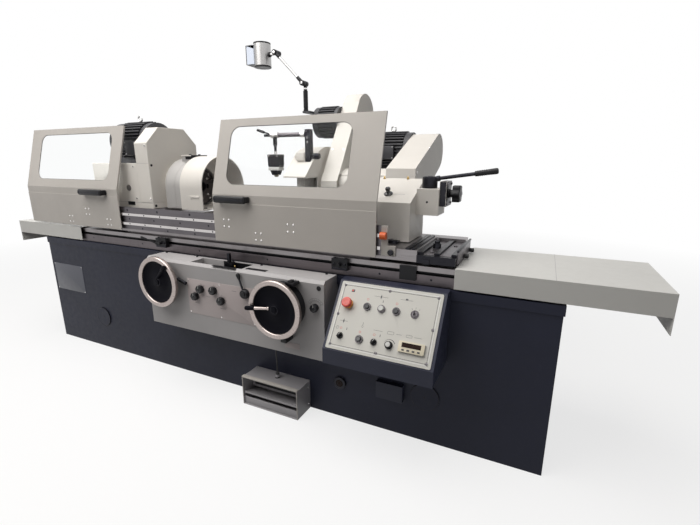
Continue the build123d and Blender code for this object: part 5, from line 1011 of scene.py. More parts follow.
def make_key_switch():
    """Lock with a steel barrel and a key in it."""
    build = Build()
    base = on_panel(*KEY_PLACE)
    barrel = [(0, 0.0), (0.0128, 0.0), (0.0128, 0.004), (0.0100, 0.0062), (0.0078, 0.0062),
              (0.0070, 0.0056), (0, 0.0056)]
    build.add(turned_part(barrel, 36), PLATE_STEEL, base)
    build.add(box_part((-0.0011, -0.0040, 0.005), (0.0011, 0.0040, 0.0125), 0.0003, 1), PLATE_STEEL, base)
    bow = raised(base, 0.0155) @ Matrix.Rotation(math.radians(90), 4, "Y")
    build.add(plate_part(0.0085, 0.0170, 0.0026, 0.0036, 0.0006), BLACK_STEEL, raised(bow, -0.0013))
    make_stand_in("key_switch", build, "key")


def make_speed_knob():
    """Setting knob with a fluted skirt, a pale cap and a pointer."""
    build = Build()
    base = on_panel(*SPEED_PLACE, PANEL_PLATE + 0.0003)
    build.add(turned_part([(0, 0.0), (0.0158, 0.0), (0.0152, 0.004), (0, 0.004)], 40), BLACK, base)
    build.add(lobed_part(0.0132, 14, 0.06, 0.0125, 0.0010), BLACK, raised(base, 0.004))
    cap = [(0.0098, 0.0162), (0.0094, 0.0172), (0.0060, 0.0178), (0, 0.0180)]
    build.add(turned_part(cap, 36), WHITE_CAP, base)
    build.add(box_part((-0.0006, 0.0085, 0.0160), (0.0006, 0.0128, 0.0169)), PALE_MARK, base)
    make_stand_in("speed_knob", build, "speed_setting")


make_button("wheel_start_button", WHEEL_START_PLACE, GREY_CAP)
make_button("work_start_button", WORK_START_PLACE, WHITE_CAP)
make_button("work_stop_button", WORK_STOP_PLACE, GREY_CAP)
make_button("cycle_button", CYCLE_PLACE, SATIN_BLACK)
make_emergency_stop()
make_selector("mode_selector", "mode_switch", MODE_PLACE)
make_selector("coolant_selector", "coolant_switch", COOLANT_PLACE)
make_key_switch()
make_speed_knob()


# Sliding guards

def make_guard(side, span, window, handle, carriages):
    """Folded guard: lapped lower sheet, leaning window sheet, returns, seal, handle and rail carriages."""
    build = Build()
    left, right = span
    middle = (left + right) / 2
    width = right - left
    thick = SHEET * math.cos(GUARD_LEAN)
    slope_of = 1.0 / math.cos(GUARD_LEAN)
    hole_low = (window[0] - middle, (WINDOW_LOW_Z - GUARD_FOLD_Z) * slope_of - GUARD_SLOPE / 2)
    hole_high = (window[1] - middle, (WINDOW_HIGH_Z - GUARD_FOLD_Z) * slope_of - GUARD_SLOPE / 2)
    sheet = window_sheet(width, GUARD_SLOPE, hole_low, hole_high, WINDOW_CORNER, thick)
    build.add(sheet, SHEET_WHITE, on_guard(middle, GUARD_SLOPE / 2, -thick))
    build.box((left, GUARD_Y, GUARD_LOW_Z), (right, GUARD_Y + SHEET, GUARD_FOLD_Z), SHEET_WHITE)
    build.box((left, GUARD_LAP_Y, GUARD_LOW_Z), (right, GUARD_Y, GUARD_LAP_Z), SHEET_WHITE, 0.0007, 1)
    top_return = box_part((-width / 2, GUARD_SLOPE - SHEET, -GUARD_RETURN),
                          (width / 2, GUARD_SLOPE, -thick))
    build.add(top_return, SHEET_WHITE, on_guard(middle, 0.0))
    for end in (left, right - SHEET):
        build.box((end, GUARD_Y + SHEET, 0.952), (end + SHEET, GUARD_Y + GUARD_RETURN, GUARD_FOLD_Z),
                  SHEET_WHITE)
        end_return = box_part((0, 0, -GUARD_RETURN), (SHEET, GUARD_SLOPE, -thick))
        build.add(end_return, SHEET_WHITE, on_guard(end, 0.0))
    seal_width = window[1] - window[0] + 0.002
    seal_height = (WINDOW_HIGH_Z - WINDOW_LOW_Z) * slope_of + 0.002
    seal = frame_part(seal_width, seal_height, WINDOW_CORNER, 0.0030, 0.0012, 10)
    seal_up = ((WINDOW_LOW_Z + WINDOW_HIGH_Z) / 2 - GUARD_FOLD_Z) * slope_of
    build.add(seal, RUBBER, on_guard((window[0] + window[1]) / 2, seal_up, -thick - 0.0013))
    add_guard_handle(build, *handle)
    for rail_z, places in carriages:
        for x in places:
            add_carriage(build, x, rail_z)
    make_stand_in("guard_" + side, build, side + "_guard")


def add_guard_handle(build, left, right):
    """Black bow handle with rounded ends, its feet and a narrow groove along the grip."""
    build.box((left, -0.3480, 1.001), (right, -0.3235, 1.036), BLACK, 0.0110, 4)
    for foot in (left, right - 0.026):
        build.box((foot + 0.001, -0.337, 1.0040), (foot + 0.025, GUARD_Y, 1.0330), BLACK, 0.005, 3)
        cap = on_front(foot + 0.013, 1.0185, -0.3479)
        build.add(rod_part(0.0065, 0.0012, 0.0004, 20), BLACK_STEEL, cap)
    build.box((left + 0.034, -0.3484, 1.0165), (right - 0.034, -0.3475, 1.0205), BLACK_STEEL, 0.0003, 1)


def add_carriage(build, x, rail_z):
    """Grooved block behind the guard and the four screws that hold it."""
    half, groove = 0.035, 0.0073
    front = GUARD_Y + SHEET
    for low, high in ((groove, 0.019), (-0.019, -groove)):
        build.box((x - half, front, rail_z + low), (x + half, -0.2863, rail_z + high), PLATE_STEEL, 0.001)
    build.box((x - half, front, rail_z - groove), (x + half, -0.2953, rail_z + groove), PLATE_STEEL)
    for across in (-0.0155, 0.0155):
        for up in (-0.017, 0.017):
            dome_screw(build, on_front(x + across, rail_z + up, GUARD_LAP_Y), 0.0046, BRIGHT)


make_guard("left", span=(-1.646, -0.756), window=(-1.540, -0.845), handle=(-1.050, -0.845),
           carriages=((UPPER_RAIL_Z, (-1.048,)), (LOWER_RAIL_Z, (-1.220, -0.857))))
make_guard("right", span=(-0.040, 0.828), window=(0.034, 0.687), handle=(0.000, 0.190),
           carriages=((UPPER_RAIL_Z, (0.039, 0.413)), (LOWER_RAIL_Z, (0.230,))))


# Rails and tables

def make_rail_screws():
    """Screws along the rails and their plate, and the pale sleeves on the plate's right end."""
    build = Build()
    for index in range(17):
        for rail_z in (UPPER_RAIL_Z, LOWER_RAIL_Z):
            flush_hole(build, on_front(-1.19 + index * 0.125, rail_z, RAIL_FACE_Y), 0.0042)
    for index in range(11):
        x = -1.2 + index * 0.2
        flush_hole(build, on_front(x + 0.1, 0.874, RAIL_PLATE_Y), 0.0052)
        flush_hole(build, on_front(x, 0.8235, RAIL_PLATE_Y), 0.0052)
    for index in range(9):
        flush_hole(build, on_front(-1.195 + index * 0.2423, 0.9235, RAIL_PLATE_Y), 0.0068)
    build.box((0.8446, -0.2866, 0.8152), (0.8724, -0.2782, 0.9404), SHEET_WHITE, 0.0006, 1)
    build.box((0.8715, -0.2866, 0.8152), (0.9064, -0.2782, 0.8584), SHEET_WHITE, 0.0006, 1)
    make_piece("rail_screws", build, "upper_table")


def make_table_screws():
    """Screws along the front of the lower table."""
    build = Build()
    for x in (-1.06, -0.62, -0.18, 0.26, 0.84, 1.06):
        flush_hole(build, on_front(x, 0.735, TABLE_FACE_Y), 0.0048)
    make_piece("table_screws", build, "table")


def make_end_clamp_details():
    """Screws on the swivel table, clamp screws and scales of its right end, end plate and two buffers."""
    build = Build()
    for x in (-0.36, -0.12, 0.12, 0.36):
        flush_hole(build, facing(UP, (x, -0.20, TABLE_TOP_Z)), 0.009)
    build.add(rod_part(0.0125, 0.012, 0.003, 32), BLACK_STEEL, on_front(0.888, 0.832, RAIL_PLATE_Y))
    for x, y in ((1.0395, -0.215), (1.1065, -0.060)):
        socket_screw(build, facing(UP, (x, y, CLAMP_TOP_Z)), 0.008, PLATE_STEEL, BLACK_STEEL)
    nut = [(0, 0), (0.012, 0), (0.012, 0.009), (0.010, 0.011), (0, 0.011)]
    stud_x, stud_y = 1.0395, -0.123
    under_stud = facing(UP, (stud_x, stud_y, CLAMP_TOP_Z + 0.022))
    build.add(turned_part(nut, 6), BLACK_STEEL, under_stud)
    stud = facing(UP, (stud_x, stud_y, CLAMP_TOP_Z + 0.030))
    build.add(rod_part(0.006, 0.012, 0.001, 16), PLATE_STEEL, stud)
    build.box((1.022, -0.289, 0.797), (1.050, -0.2855, 0.817), BLACK_STEEL, 0.001)
    for low_x, high_x in ((1.018, 1.061), (1.085, 1.128)):
        build.box((low_x, -0.262, CLAMP_TOP_Z), (high_x, 0.036, CLAMP_TOP_Z + 0.0015),
                  PLATE_STEEL, 0.0005, 1)
    for low_x, high_x in ((0.971, 0.985), (0.945, 0.965)):
        build.box((low_x, -0.274, TABLE_TOP_Z), (high_x, 0.060, 0.8545), BLACK_STEEL, 0.001)
    build.box((1.1495, -0.255, 0.800), (1.1545, 0.030, 0.852), PLATE_STEEL, 0.001)
    buffer = [(0, 0.0), (0.0080, 0.0), (0.0092, 0.002), (0.0092, 0.017), (0.0076, 0.0195), (0, 0.020)]
    for y in (0.012, -0.122):
        build.add(turned_part(buffer, 24), RUBBER, facing(RIGHT, (1.1540, y, 0.8088)))
    build.box((1.1485, -0.257, 0.850), (1.1565, 0.032, 0.857), BLACK_STEEL, 0.001)
    make_piece("end_clamp_details", build, "upper_table")


make_rail_screws()
make_table_screws()
make_end_clamp_details()


# Headstock

def make_headstock_details():
    """Blank badge, slot plate, cover seams and screws, hood fittings, the lug's screws and black blocks
    painted as the shade under the lug.
    """
    build = Build()
    badge = [(0, 0.0022), (0.0140, 0.0022), (0.0150, 0.0030), (0.0172, 0.0030), (0.0180, 0.0018),
             (0.0180, 0.0), (0, 0.0)]
    build.add(turned_part(badge, 40), BADGE_GREY, on_front(-0.760, 1.044, HEAD_FACE_Y))
    slot_plate = plate_part(0.060, 0.021, 0.0012, 0.003, 0.0003)
    build.add(slot_plate, BLACK, on_front(-0.753, 0.955, HEAD_FACE_Y))
    for x, z in ((-0.700, 1.165), (-0.700, 0.985), (-0.586, 1.278), (-0.586, 0.985)):
        socket_screw(build, on_front(x, z, HEAD_FACE_Y), 0.0052, BRIGHT, BLACK_STEEL)
    build.box((-0.672, -0.2204, 1.1822), (-0.572, -0.2198, 1.1836), APRON_GREY)
    build.box((-1.065, -0.2204, 0.9612), (-0.573, -0.2198, 0.9628), APRON_GREY)
    for y in (-0.035, 0.035):
        socket_screw(build, facing(UP, (-0.446, y, 1.2290)), 0.0075, BLACK_STEEL, BLACK_STEEL)
    build.box((-0.498, -0.0505, 1.1985), (-0.404, 0.0505, 1.2015), APRON_GREY)
    build.box((-0.501, -0.0535, 1.2215), (-0.424, 0.0535, 1.2290), WHITE, 0.0015)
    # Painted shade: black blocks under the lug's plate stand for the shadow gap between the plate, the nose
    # and the hood
    build.box((-0.4690, -0.0508, 1.2040), (-0.4240, 0.0508, 1.2215), BLACK)
    build.box((-0.4240, -0.0508, 1.1900), (-0.4010, 0.0508, 1.2282), BLACK)
    for z in (1.172, 0.946):
        dome_screw(build, facing(RIGHT, (-0.571, -0.203, z)), 0.0075, BLACK)
    build.box((-0.330, -0.177, 0.998), (-0.262, -0.1738, 1.008), WHITE, 0.0008, 1)
    build.box((-0.324, -0.1765, 0.990), (-0.318, -0.1738, 0.998), WHITE, 0.0008, 1)
    socket_screw(build, facing(UP, (-0.275, -0.120, 0.936)), 0.008, BLACK_STEEL, BLACK_STEEL)
    make_piece("headstock_details", build, "headstock")


def make_chuck_details():
    """Dark ring lines and bright screws on the chuck face."""
    build = Build()
    face = facing(RIGHT, (-0.412, 0, AXIS_Z))
    build.add(ring_part(0.0990, 0.0975, 0.0005, 0.0001, 64), BLACK_STEEL, face)
    build.add(ring_part(0.0310, 0.0265, 0.0012, 0.0004, 48), BLACK_STEEL, face)
    for degrees in (60.0, 180.0, 300.0):
        for radius in (0.052, 0.080):
            place = turned(face, degrees) @ Matrix.Translation((radius, 0, 0.016))
            socket_screw(build, place, 0.006, BRIGHT, BLACK_STEEL)
    make_piece("chuck_details", build, "work_drive")


make_headstock_details()
make_chuck_details()


# Tailstock

QUILL_HUB = Vector((0.963, 0, 1.077))
RAMP_RISE = 0.094
RAMP_RUN = 0.215


def make_tailstock_details():
    """Oil nipples, a sunk hole, an index line, the black knob flange and base bolts."""
    build = Build()
    nipple = [(0, 0.0), (0.0062, 0.0), (0.0062, 0.003), (0.0040, 0.004), (0.0044, 0.008), (0.0034, 0.0115),
              (0.0018, 0.013), (0, 0.0132)]
    for x in (0.724, 0.842):
        build.add(turned_part(nipple, 20), BRASS, facing(UP, (x, 0.058, 1.112)))
    flush_hole(build, on_front(0.9695, 1.020, -0.062), 0.0050)
    slope = Vector((0, RAMP_RUN, RAMP_RISE)).normalized()
    turn = Matrix((RIGHT, slope, RIGHT.cross(slope))).transposed().to_4x4()
    ramp = Matrix.Translation((0.850, -0.080, 1.0517)) @ turn
    build.add(box_part((-0.024, -0.0008, 0.0), (0.024, 0.0008, 0.0004)), APRON_GREY, ramp)
    flange_x = 1.0504
    build.box((1.0202, -0.0545, 1.0015), (flange_x, 0.0545, 1.1105), BLACK_STEEL, 0.003)
    for y in (-0.042, 0.042):
        for z in (1.014, 1.098):
            socket_screw(build, facing(RIGHT, (flange_x, y, z)), 0.0055, PLATE_STEEL, BLACK_STEEL)
    for x in (0.735, 0.850):
        build.box((x - 0.030, -0.186, TABLE_TOP_Z), (x + 0.030, -0.1505, 0.860), BLACK_STEEL, 0.002)
        socket_screw(build, facing(UP, (x, -0.169, 0.860)), 0.0070, PLATE_STEEL, BLACK_STEEL)
    make_piece("tailstock_details", build, "upper_table")


def make_clamp_knob():
    """Black clamp knob with a wide skirt, a waist and a rounded head."""
    build = Build()
    slope = RAMP_RISE / RAMP_RUN
    base = facing((0, -slope, 1), (0.797, -0.082, 1.021 + 0.068 * slope))
    profile = [(0, 0.0), (0.0200, 0.0), (0.0200, 0.004), (0.0165, 0.008), (0.0100, 0.0105), (0.0085, 0.017),
               (0.0118, 0.022), (0.0122, 0.028), (0.0098, 0.0328), (0, 0.034)]
    build.add(turned_part(profile, 32), SATIN_BLACK, base)
    make_stand_in("tailstock_clamp_knob", build, "tailstock_clamp")


def make_quill_lever():
    """Quill lever: dark capped hub, blackened rod and a black grip with rings."""
    build = Build()
    hub = [(0, 0.054), (0.010, 0.054), (0.011, 0.052), (0.028, 0.052), (0.0325, 0.049), (0.034, 0.043),
           (0.034, 0.004), (0.032, 0.0), (0, 0.0)]
    build.add(turned_part(hub, 48), BLACK_STEEL, Matrix.Translation(QUILL_HUB))
    along = Vector((0.287, 0, 0.041))
    rod = facing(along, QUILL_HUB + UP * 0.038)
    length = along.length
    build.add(rod_part(0.008, length - 0.09, 0.001, 24), BLACK_STEEL, rod)
    collar = [(0, 0.030), (0.0125, 0.030), (0.0125, 0.043), (0.0105, 0.046), (0, 0.046)]
    build.add(turned_part(collar, 28), BLACK_STEEL, rod)
    low = length - 0.096
    grip = [(0, low), (0.0095, low), (0.0115, low + 0.003), (0.0118, low + 0.050), (0.0130, low + 0.085),
            (0.0120, low + 0.093), (0.0080, low + 0.0958), (0, low + 0.096)]
    build.add(turned_part(grip, 32), BLACK, rod)
    for index in range(5):
        ring = ring_part(0.0127, 0.0100, 0.0022, 0.0006, 32)
        build.add(ring, BLACK, raised(rod, low + 0.012 + index * 0.009))
    make_stand_in("quill_lever", build, "quill_handle")


def make_quill_knob():
    """Black star knob with its neck and centre cap."""
    build = Build()
    base = facing(RIGHT, (1.050, 0, 1.056))
    neck = [(0, 0.0), (0.020, 0.0), (0.020, 0.005), (0.0165, 0.008), (0.0165, 0.015), (0.020, 0.020),
            (0, 0.020)]
    build.add(turned_part(neck, 32), BLACK, base)
    build.add(lobed_part(0.040, 6, 0.20, 0.034, 0.006), BLACK, raised(base, 0.019))
    build.add(turned_part([(0.012, 0.0525), (0.011, 0.0542), (0, 0.0548)], 28), GREY_CAP, base)
    make_stand_in("quill_knob", build, "quill_setting_knob")


make_tailstock_details()
make_clamp_knob()
make_quill_lever()
make_quill_knob()


# Trip dogs

def make_dog_details(side, x, lever):
    """Clamp screw, cap screws, finger plate and, where it has one, the flip-up lever of a trip dog."""
    build = Build()
    screw_z = 0.760
    build.add(lobed_part(0.0088, 8, 0.08, 0.014, 0.002), BLACK, on_front(x, screw_z, DOG_FACE_Y - 0.0005))
    for across in (-0.026, 0.026):
        socket_screw(build, on_front(x + across, screw_z, DOG_FACE_Y), 0.006, BLACK_STEEL, BLACK)
        socket_screw(build, facing(UP, (x + across, -0.296, 0.785)), 0.005, BLACK_STEEL, BLACK)
    build.box((x - 0.036, -0.3085, 0.737), (x + 0.036, -0.3070, 0.746), BLACK_STEEL, 0.0005, 1)
    if lever:
        root = Vector((x - 0.022, -0.318, 0.757))
        build.add(rod_part(0.009, 0.014, 0.002, 24), BLACK, on_front(root.x, root.z, DOG_FACE_Y))
        shaft = [(0, 0.0), (0.0040, 0.0), (0.0036, 0.050), (0.0052, 0.056), (0.0056, 0.078),
                 (0.0040, 0.084), (0, 0.085)]
        build.add(turned_part(shaft, 20), BLACK, facing((-0.056, -0.048, 0.041), root))
    make_piece("trip_dog_%s_details" % side, build, side + "_dog")


make_dog_details("left", -0.440, lever=True)
make_dog_details("right", 0.660, lever=False)


# Bed front, way covers and foot switch

def make_bed_details():
    """Blank name plate, sight glass, lifting-cover grooves and cover seams."""
    build = Build()
    plate = plate_part(0.295, 0.181, 0.0012, 0.003, 0.0003)
    build.add(plate, BLANK_PLATE, on_front(-1.3665, 0.4405, BED_FACE_Y))
    for x in (-1.508, -1.225):
        for z in (0.356, 0.525):
            dome_screw(build, on_front(x, z, BED_FACE_Y - 0.0011), 0.0030, BRIGHT)
    sight = on_front(0.656, 0.182, BED_FACE_Y)
    sight_frame = rounded_profile(0.0175, 0.0305, 0.0, 0.0125, 0.003, 3)
    build.add(turned_part(sight_frame, 48, closed=True), BLACK_STEEL, sight)
    build.add(turned_part([(0.018, 0.0104), (0.010, 0.0116), (0, 0.0120)], 40), SCREEN, sight)
    build.add(ring_part(0.0100, 0.0088, 0.0119, 0.0002, 32), BLACK_STEEL, sight)
    for x in (-1.062, 1.062):
        cover = on_front(x, 0.216, BED_FACE_Y)
        build.add(ring_part(0.0612, 0.0592, 0.0064, 0.0004, 64), BLACK_STEEL, cover)
        build.add(rod_part(0.0045, 0.0010, 0.0003, 20), BLACK_STEEL, raised(cover, 0.006))
    for x in (-1.5, 1.5):
        build.box((x - 0.0008, -0.2995, 0.7946), (x + 0.0008, 0.1395, 0.7953), APRON_GREY)
    make_piece("bed_details", build, "bed")


def make_foot_switch():
    """Foot switch in its hood: grey body with a black slot, low front panel, pale rolled lip and screws."""
    build = Build()
    build.box((0.176, FOOT_SWITCH_Y, 0.072), (0.478, -0.299, 0.142), HOOD_GREY, 0.004)
    build.box((0.196, -0.3545, 0.088), (0.458, -0.3515, 0.102), BLACK, 0.001)
    build.box((0.186, -0.3535, 0.118), (0.468, -0.3515, 0.121), APRON_GREY, 0.0005, 1)
    for x in (0.186, 0.468):
        dome_screw(build, on_front(x, 0.131, FOOT_SWITCH_Y), 0.0040, BRIGHT)
    for outward, x in ((LEFT, 0.165), (RIGHT, 0.488)):
        for z in (0.03, 0.12):
            dome_screw(build, facing(outward, (x, -0.310, z)), 0.0045, BRIGHT)
    build.box((0.1685, -0.4085, 0.003), (0.4845, -0.4045, 0.042), HOOD_GREY, 0.001)
    build.box((0.1640, -0.4165, 0.1475), (0.4890, -0.3960, 0.1565), SHEET_WHITE, 0.003)
    for x in (0.1640, 0.4845):
        build.box((x, -0.4160, 0.0005), (x + 0.0045, -0.4130, 0.1480), SHEET_WHITE, 0.001, 1)
    make_piece("foot_switch_body", build, "bed")


make_bed_details()
make_foot_switch()


# Wheelhead, headstock motor and coolant arm

SKIRT_Y = 0.316


def make_wheelhead_details():
    """Dressing boss on the wheel guard, cover and clamp screws, terminal box and the folded front skirt."""
    build = Build()
    boss_y, boss_z = 0.290, 1.222
    build.box((0.092, 0.252, 1.196), (0.150, 0.330, 1.246), WHITE, 0.006, 3)
    build.add(rod_part(0.024, 0.020, 0.003, 40), WHITE, facing(RIGHT, (0.074, boss_y, boss_z)))
    barrel = [(0, 0.0), (0.0165, 0.0), (0.0175, 0.001), (0.0175, 0.030), (0.0155, 0.032), (0.0155, 0.040),
              (0.0175, 0.042), (0.0175, 0.076), (0.0150, 0.080), (0, 0.080)]
    build.add(turned_part(barrel, 40), BLACK_STEEL, facing(RIGHT, (0.150, boss_y, boss_z)))
    cover_screws = ((0.375, 1.135), (0.375, 0.925), (0.620, 1.270), (0.640, 1.010), (0.880, 1.345),
                    (0.900, 1.170))
    for y, z in cover_screws:
        socket_screw(build, facing(RIGHT, (0.790, y, z)), 0.0060, BRIGHT, BLACK_STEEL)
    for x in (0.240, 0.312):
        for y, z in ((0.441, 1.2625), (0.541, 1.4015)):
            build.add(rod_part(0.0055, 0.004, 0.001, 16), BRIGHT, facing((0, -0.81, 0.58), (x, y, z)))
    for z in (1.300, 1.325):
        socket_screw(build, on_front(0.168, z, 0.262), 0.0055, BRIGHT, BLACK_STEEL)
    box_y = 0.716
    build.box((0.430, box_y, 1.205), (0.530, 0.752, 1.290), MOTOR_DARK, 0.005, 3)
    for x in (0.438, 0.522):
        for z in (1.213, 1.282):
            socket_screw(build, on_front(x, z, box_y), 0.0040, BRIGHT, BLACK_STEEL)
    build.box((0.222, SKIRT_Y, 1.010), (0.330, SKIRT_Y + SHEET, 1.078), WHITE, 0.0008, 1)
    fold = Vector((0.0, 0.344 - SKIRT_Y, 0.043))
    folded = Matrix.Translation((0.276, SKIRT_Y, 1.077)) @ Matrix.Rotation(-fold.angle(UP), 4, "X")
    build.add(box_part((-0.054, -SHEET, 0.0), (0.054, 0.0, fold.length), 0.0008, 1), WHITE, folded)
    make_piece("wheelhead_details", build, "wheelhead")


def make_headstock_motor_details():
    """Terminal box on the headstock motor's front, with its lid screws and a cable gland."""
    build = Build()
    build.box((-0.800, -0.176, 1.232), (-0.716, -0.140, 1.300), MOTOR_DARK, 0.005, 3)
    build.box((-0.804, -0.181, 1.228), (-0.712, -0.175, 1.304), MOTOR_DARK, 0.0025)
    for x in (-0.797, -0.719):
        for z in (1.235, 1.297):
            socket_screw(build, on_front(x, z, -0.181), 0.0036, BRIGHT, BLACK)
    gland = [(0, 0.0), (0.011, 0.0), (0.011, 0.008), (0.0085, 0.010), (0.0085, 0.020), (0.006, 0.024),
             (0, 0.024)]
    build.add(turned_part(gland, 24), BLACK, facing(DOWN, (-0.758, -0.158, 1.232)))
    make_piece("headstock_motor_details", build, "headstock")


def make_coolant_details():
    """Sleeve, bright clamps and tommy lever of the coolant arm, and the banded nozzle with its pale tip."""
    build = Build()
    rod_x, rod_y, rod_z = -0.070, 0.279, 1.345
    tip = [(0, 0.0), (0.016, 0.0), (0.0165, -0.004), (0.0110, -0.013), (0.0085, -0.015), (0, -0.015)]
    build.add(turned_part(tip, 28), CREAM, Matrix.Translation((rod_x, rod_y, 1.115)))
    build.box((rod_x - 0.040, 0.2525, 1.139), (rod_x + 0.040, 0.3055, 1.160), PALE_MARK, 0.0025)
    build.box((rod_x - 0.044, 0.2515, 1.214), (rod_x + 0.044, 0.3065, 1.2335), BLACK, 0.003)
    for across in (-0.030, 0.030):
        socket_screw(build, on_front(rod_x + across, 1.224, 0.2515), 0.0050, BRIGHT, BLACK_STEEL)
    build.add(rod_part(0.0125, 0.160, 0.001, 32), PLATE_STEEL, facing(RIGHT, (-0.046, rod_y, rod_z)))
    for x, length in ((-0.098, 0.056), (0.114, 0.030)):
        build.add(rod_part(0.0170, length, 0.003, 36), BRIGHT, facing(RIGHT, (x, rod_y, rod_z)))
    build.add(rod_part(0.0125, 0.050, 0.0015, 28), BLACK, Matrix.Translation((rod_x, rod_y, 1.285)))
    build.add(rod_part(0.0100, 0.020, 0.001, 28), BRIGHT, Matrix.Translation((rod_x, rod_y, 1.2335)))
    for across in (-0.016, 0.016):
        socket_screw(build, on_front(rod_x + across, rod_z, 0.262), 0.0055, BRIGHT, BLACK_STEEL)
    lever = facing((-0.90, -0.25, 0.30), (-0.098, 0.275, 1.350))
    build.add(rod_part(0.0045, 0.070, 0.002, 16), BLACK_STEEL, lever)
    grip = [(0, 0.040), (0.0065, 0.040), (0.0080, 0.046), (0.0075, 0.088), (0, 0.090)]
    build.add(turned_part(grip, 20), BLACK, lever)
    make_piece("coolant_details", build, "coolant_pipe")


make_wheelhead_details()
make_headstock_motor_details()
make_coolant_details()


# Work lamp

LAMP_ELBOW = Vector((0.018, 0.500, 1.660))
LAMP_TILT = Vector((-0.178, 0.500, 1.852))


def add_lamp_joint(build, pivot, near, far):
    """Black joint barrel along Y with a bright pivot in its middle."""
    barrel = rounded_profile(0.001, 0.016, 0.0, far - near, 0.0025, 3)
    build.add(turned_part(barrel, 36, closed=True), BLACK, on_front(pivot.x, pivot.z, far))
    pin = rod_part(0.0075, far - near + 0.003, 0.0008, 24)
    build.add(pin, BRIGHT, on_front(pivot.x, pivot.z, far + 0.0015))


def make_lamp_head():
    """Lamp head: brushed half-round shell between black caps, with a framed glass lens box."""
    build = Build()
    x, y, z = -0.298, LAMP_TILT.y, LAMP_TILT.z
    middle = Matrix.Translation((x, y, z))
    shell = [(0, -0.0660), (0.0520, -0.0660), (0.0545, -0.0635), (0.0545, 0.0635), (0.0520, 0.0660),
             (0, 0.0660)]
    build.add(turned_part(shell, 64), LAMP_ALLOY, middle)
    for low in (-0.0725, 0.0660):
        cap = rounded_profile(0.001, 0.0550, low, low + 0.0065, 0.002, 3)
        build.add(turned_part(cap, 64, closed=True), BLACK, middle)
    lens = box_part((-0.092, -0.046, -0.0545), (-0.030, 0.046, 0.0545), 0.004, 3)
    build.add(lens, LENS, middle)
    for low in (-0.0570, 0.0545):
        band = box_part((-0.094, -0.048, low), (-0.040, 0.048, low + 0.0025), 0.0006, 1)
        build.add(band, BLACK, middle)
    for side in (-0.048, 0.0455):
        build.add(box_part((-0.094, side, -0.056), (-0.0905, side + 0.0025, 0.056)), BLACK, middle)
    build.add(box_part((-0.036, -0.040, -0.050), (-0.032, 0.040, 0.050)), WHITE_CAP, middle)
    build.add(rod_part(0.0085, 0.070, 0.001, 24), BRIGHT, facing(RIGHT, (x + 0.050, y, z)))
    build.add(ring_part(0.0150, 0.0085, 0.012, 0.002, 32), BLACK, facing(RIGHT, (x + 0.0530, y, z)))
    add_lamp_joint(build, LAMP_TILT, 0.484, 0.516)
    make_stand_in("lamp_head", build, "lamp")


def make_lamp_arm():
    """Pale lamp tube with black joints, sleeves and a bright collar."""
    build = Build()
    beside = FRONT * 0.031
    run = LAMP_TILT - LAMP_ELBOW
    tube = facing(run, LAMP_ELBOW + beside)
    build.add(rod_part(0.0078, run.length, 0.0005, 28), LAMP_ALLOY, tube)
    for low, high in ((0.010, 0.052), (run.length - 0.046, run.length - 0.010)):
        sleeve = rounded_profile(0.001, 0.0105, low, high, 0.002, 3)
        build.add(turned_part(sleeve, 28, closed=True), BLACK, tube)
    collar = rounded_profile(0.001, 0.0098, 0.052, 0.058, 0.001, 2)
    build.add(turned_part(collar, 28, closed=True), BRIGHT, tube)
    for pivot in (LAMP_ELBOW, LAMP_TILT):
        add_lamp_joint(build, pivot, 0.454, 0.4838)
    make_stand_in("lamp_arm", build, "lamp_boom")


def make_lamp_post():
    """Black lamp post with a foot collar, a bright ring and the elbow barrel."""
    build = Build()
    foot = Matrix.Translation((LAMP_ELBOW.x, LAMP_ELBOW.y, 1.500))
    post = [(0, 0.0), (0.0155, 0.0), (0.0155, 0.010), (0.0120, 0.014), (0.0145, 0.016), (0.0145, 0.118),
            (0.0110, 0.122), (0.0110, 0.150), (0, 0.150)]
    build.add(turned_part(post, 32), BLACK, foot)
    build.add(ring_part(0.0122, 0.0100, 0.009, 0.001, 32), BRIGHT, raised(foot, 0.128))
    add_lamp_joint(build, LAMP_ELBOW, 0.4842, 0.516)
    make_stand_in("lamp_post", build, "lamp_base")


make_lamp_head()
make_lamp_arm()
make_lamp_post()


# Foot switch cable, from the gland up into the apron

def make_foot_cable():
    """The cable stands nearly straight between the foot switch and the apron."""
    x, y = 0.329, -0.342
    low, high, bow = 0.168, 0.345, 0.0025
    sway = ((0, 0), (0, 0), (1, -0.7), (0.4, -1), (-0.8, -0.3), (0, 0), (0, 0))
    step = (high - low) / (len(sway) - 1)
    curve = bpy.data.curves.new("foot_cable", "CURVE")
    curve.dimensions = "3D"
    curve.bevel_depth = 0.0035
    curve.bevel_resolution = 5
    curve.use_fill_caps = True
    spline = curve.splines.new("NURBS")
    spline.points.add(len(sway) - 1)
    for index, (across, out) in enumerate(sway):
        spline.points[index].co = (x + across * bow, y + out * bow, low + index * step, 1.0)
    spline.order_u = 3
    spline.use_endpoint_u = True
    spline.resolution_u = 12
    curve.materials.append(RUBBER)
    cable = bpy.data.objects.new("foot_cable", curve)
    bpy.context.scene.collection.objects.link(cable)
    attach(cable, "bed")
    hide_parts("foot_switch_cable")
    relief = Build()
    profile = [(0.0125, 0.0), (0.0125, 0.006), (0.0095, 0.008), (0.0085, 0.022), (0.0055, 0.034),
               (0.0038, 0.036)]
    relief.add(turned_part(profile, 20), RUBBER, Matrix.Translation((x, y, low - 0.018)))
    make_piece("foot_cable_gland", relief, "bed")


make_foot_cable()


# Camera, light and floor

LAMP_WARMTH = (1.0, 0.975, 0.945)
PURE_WHITE = (1.0, 1.0, 1.0, 1.0)


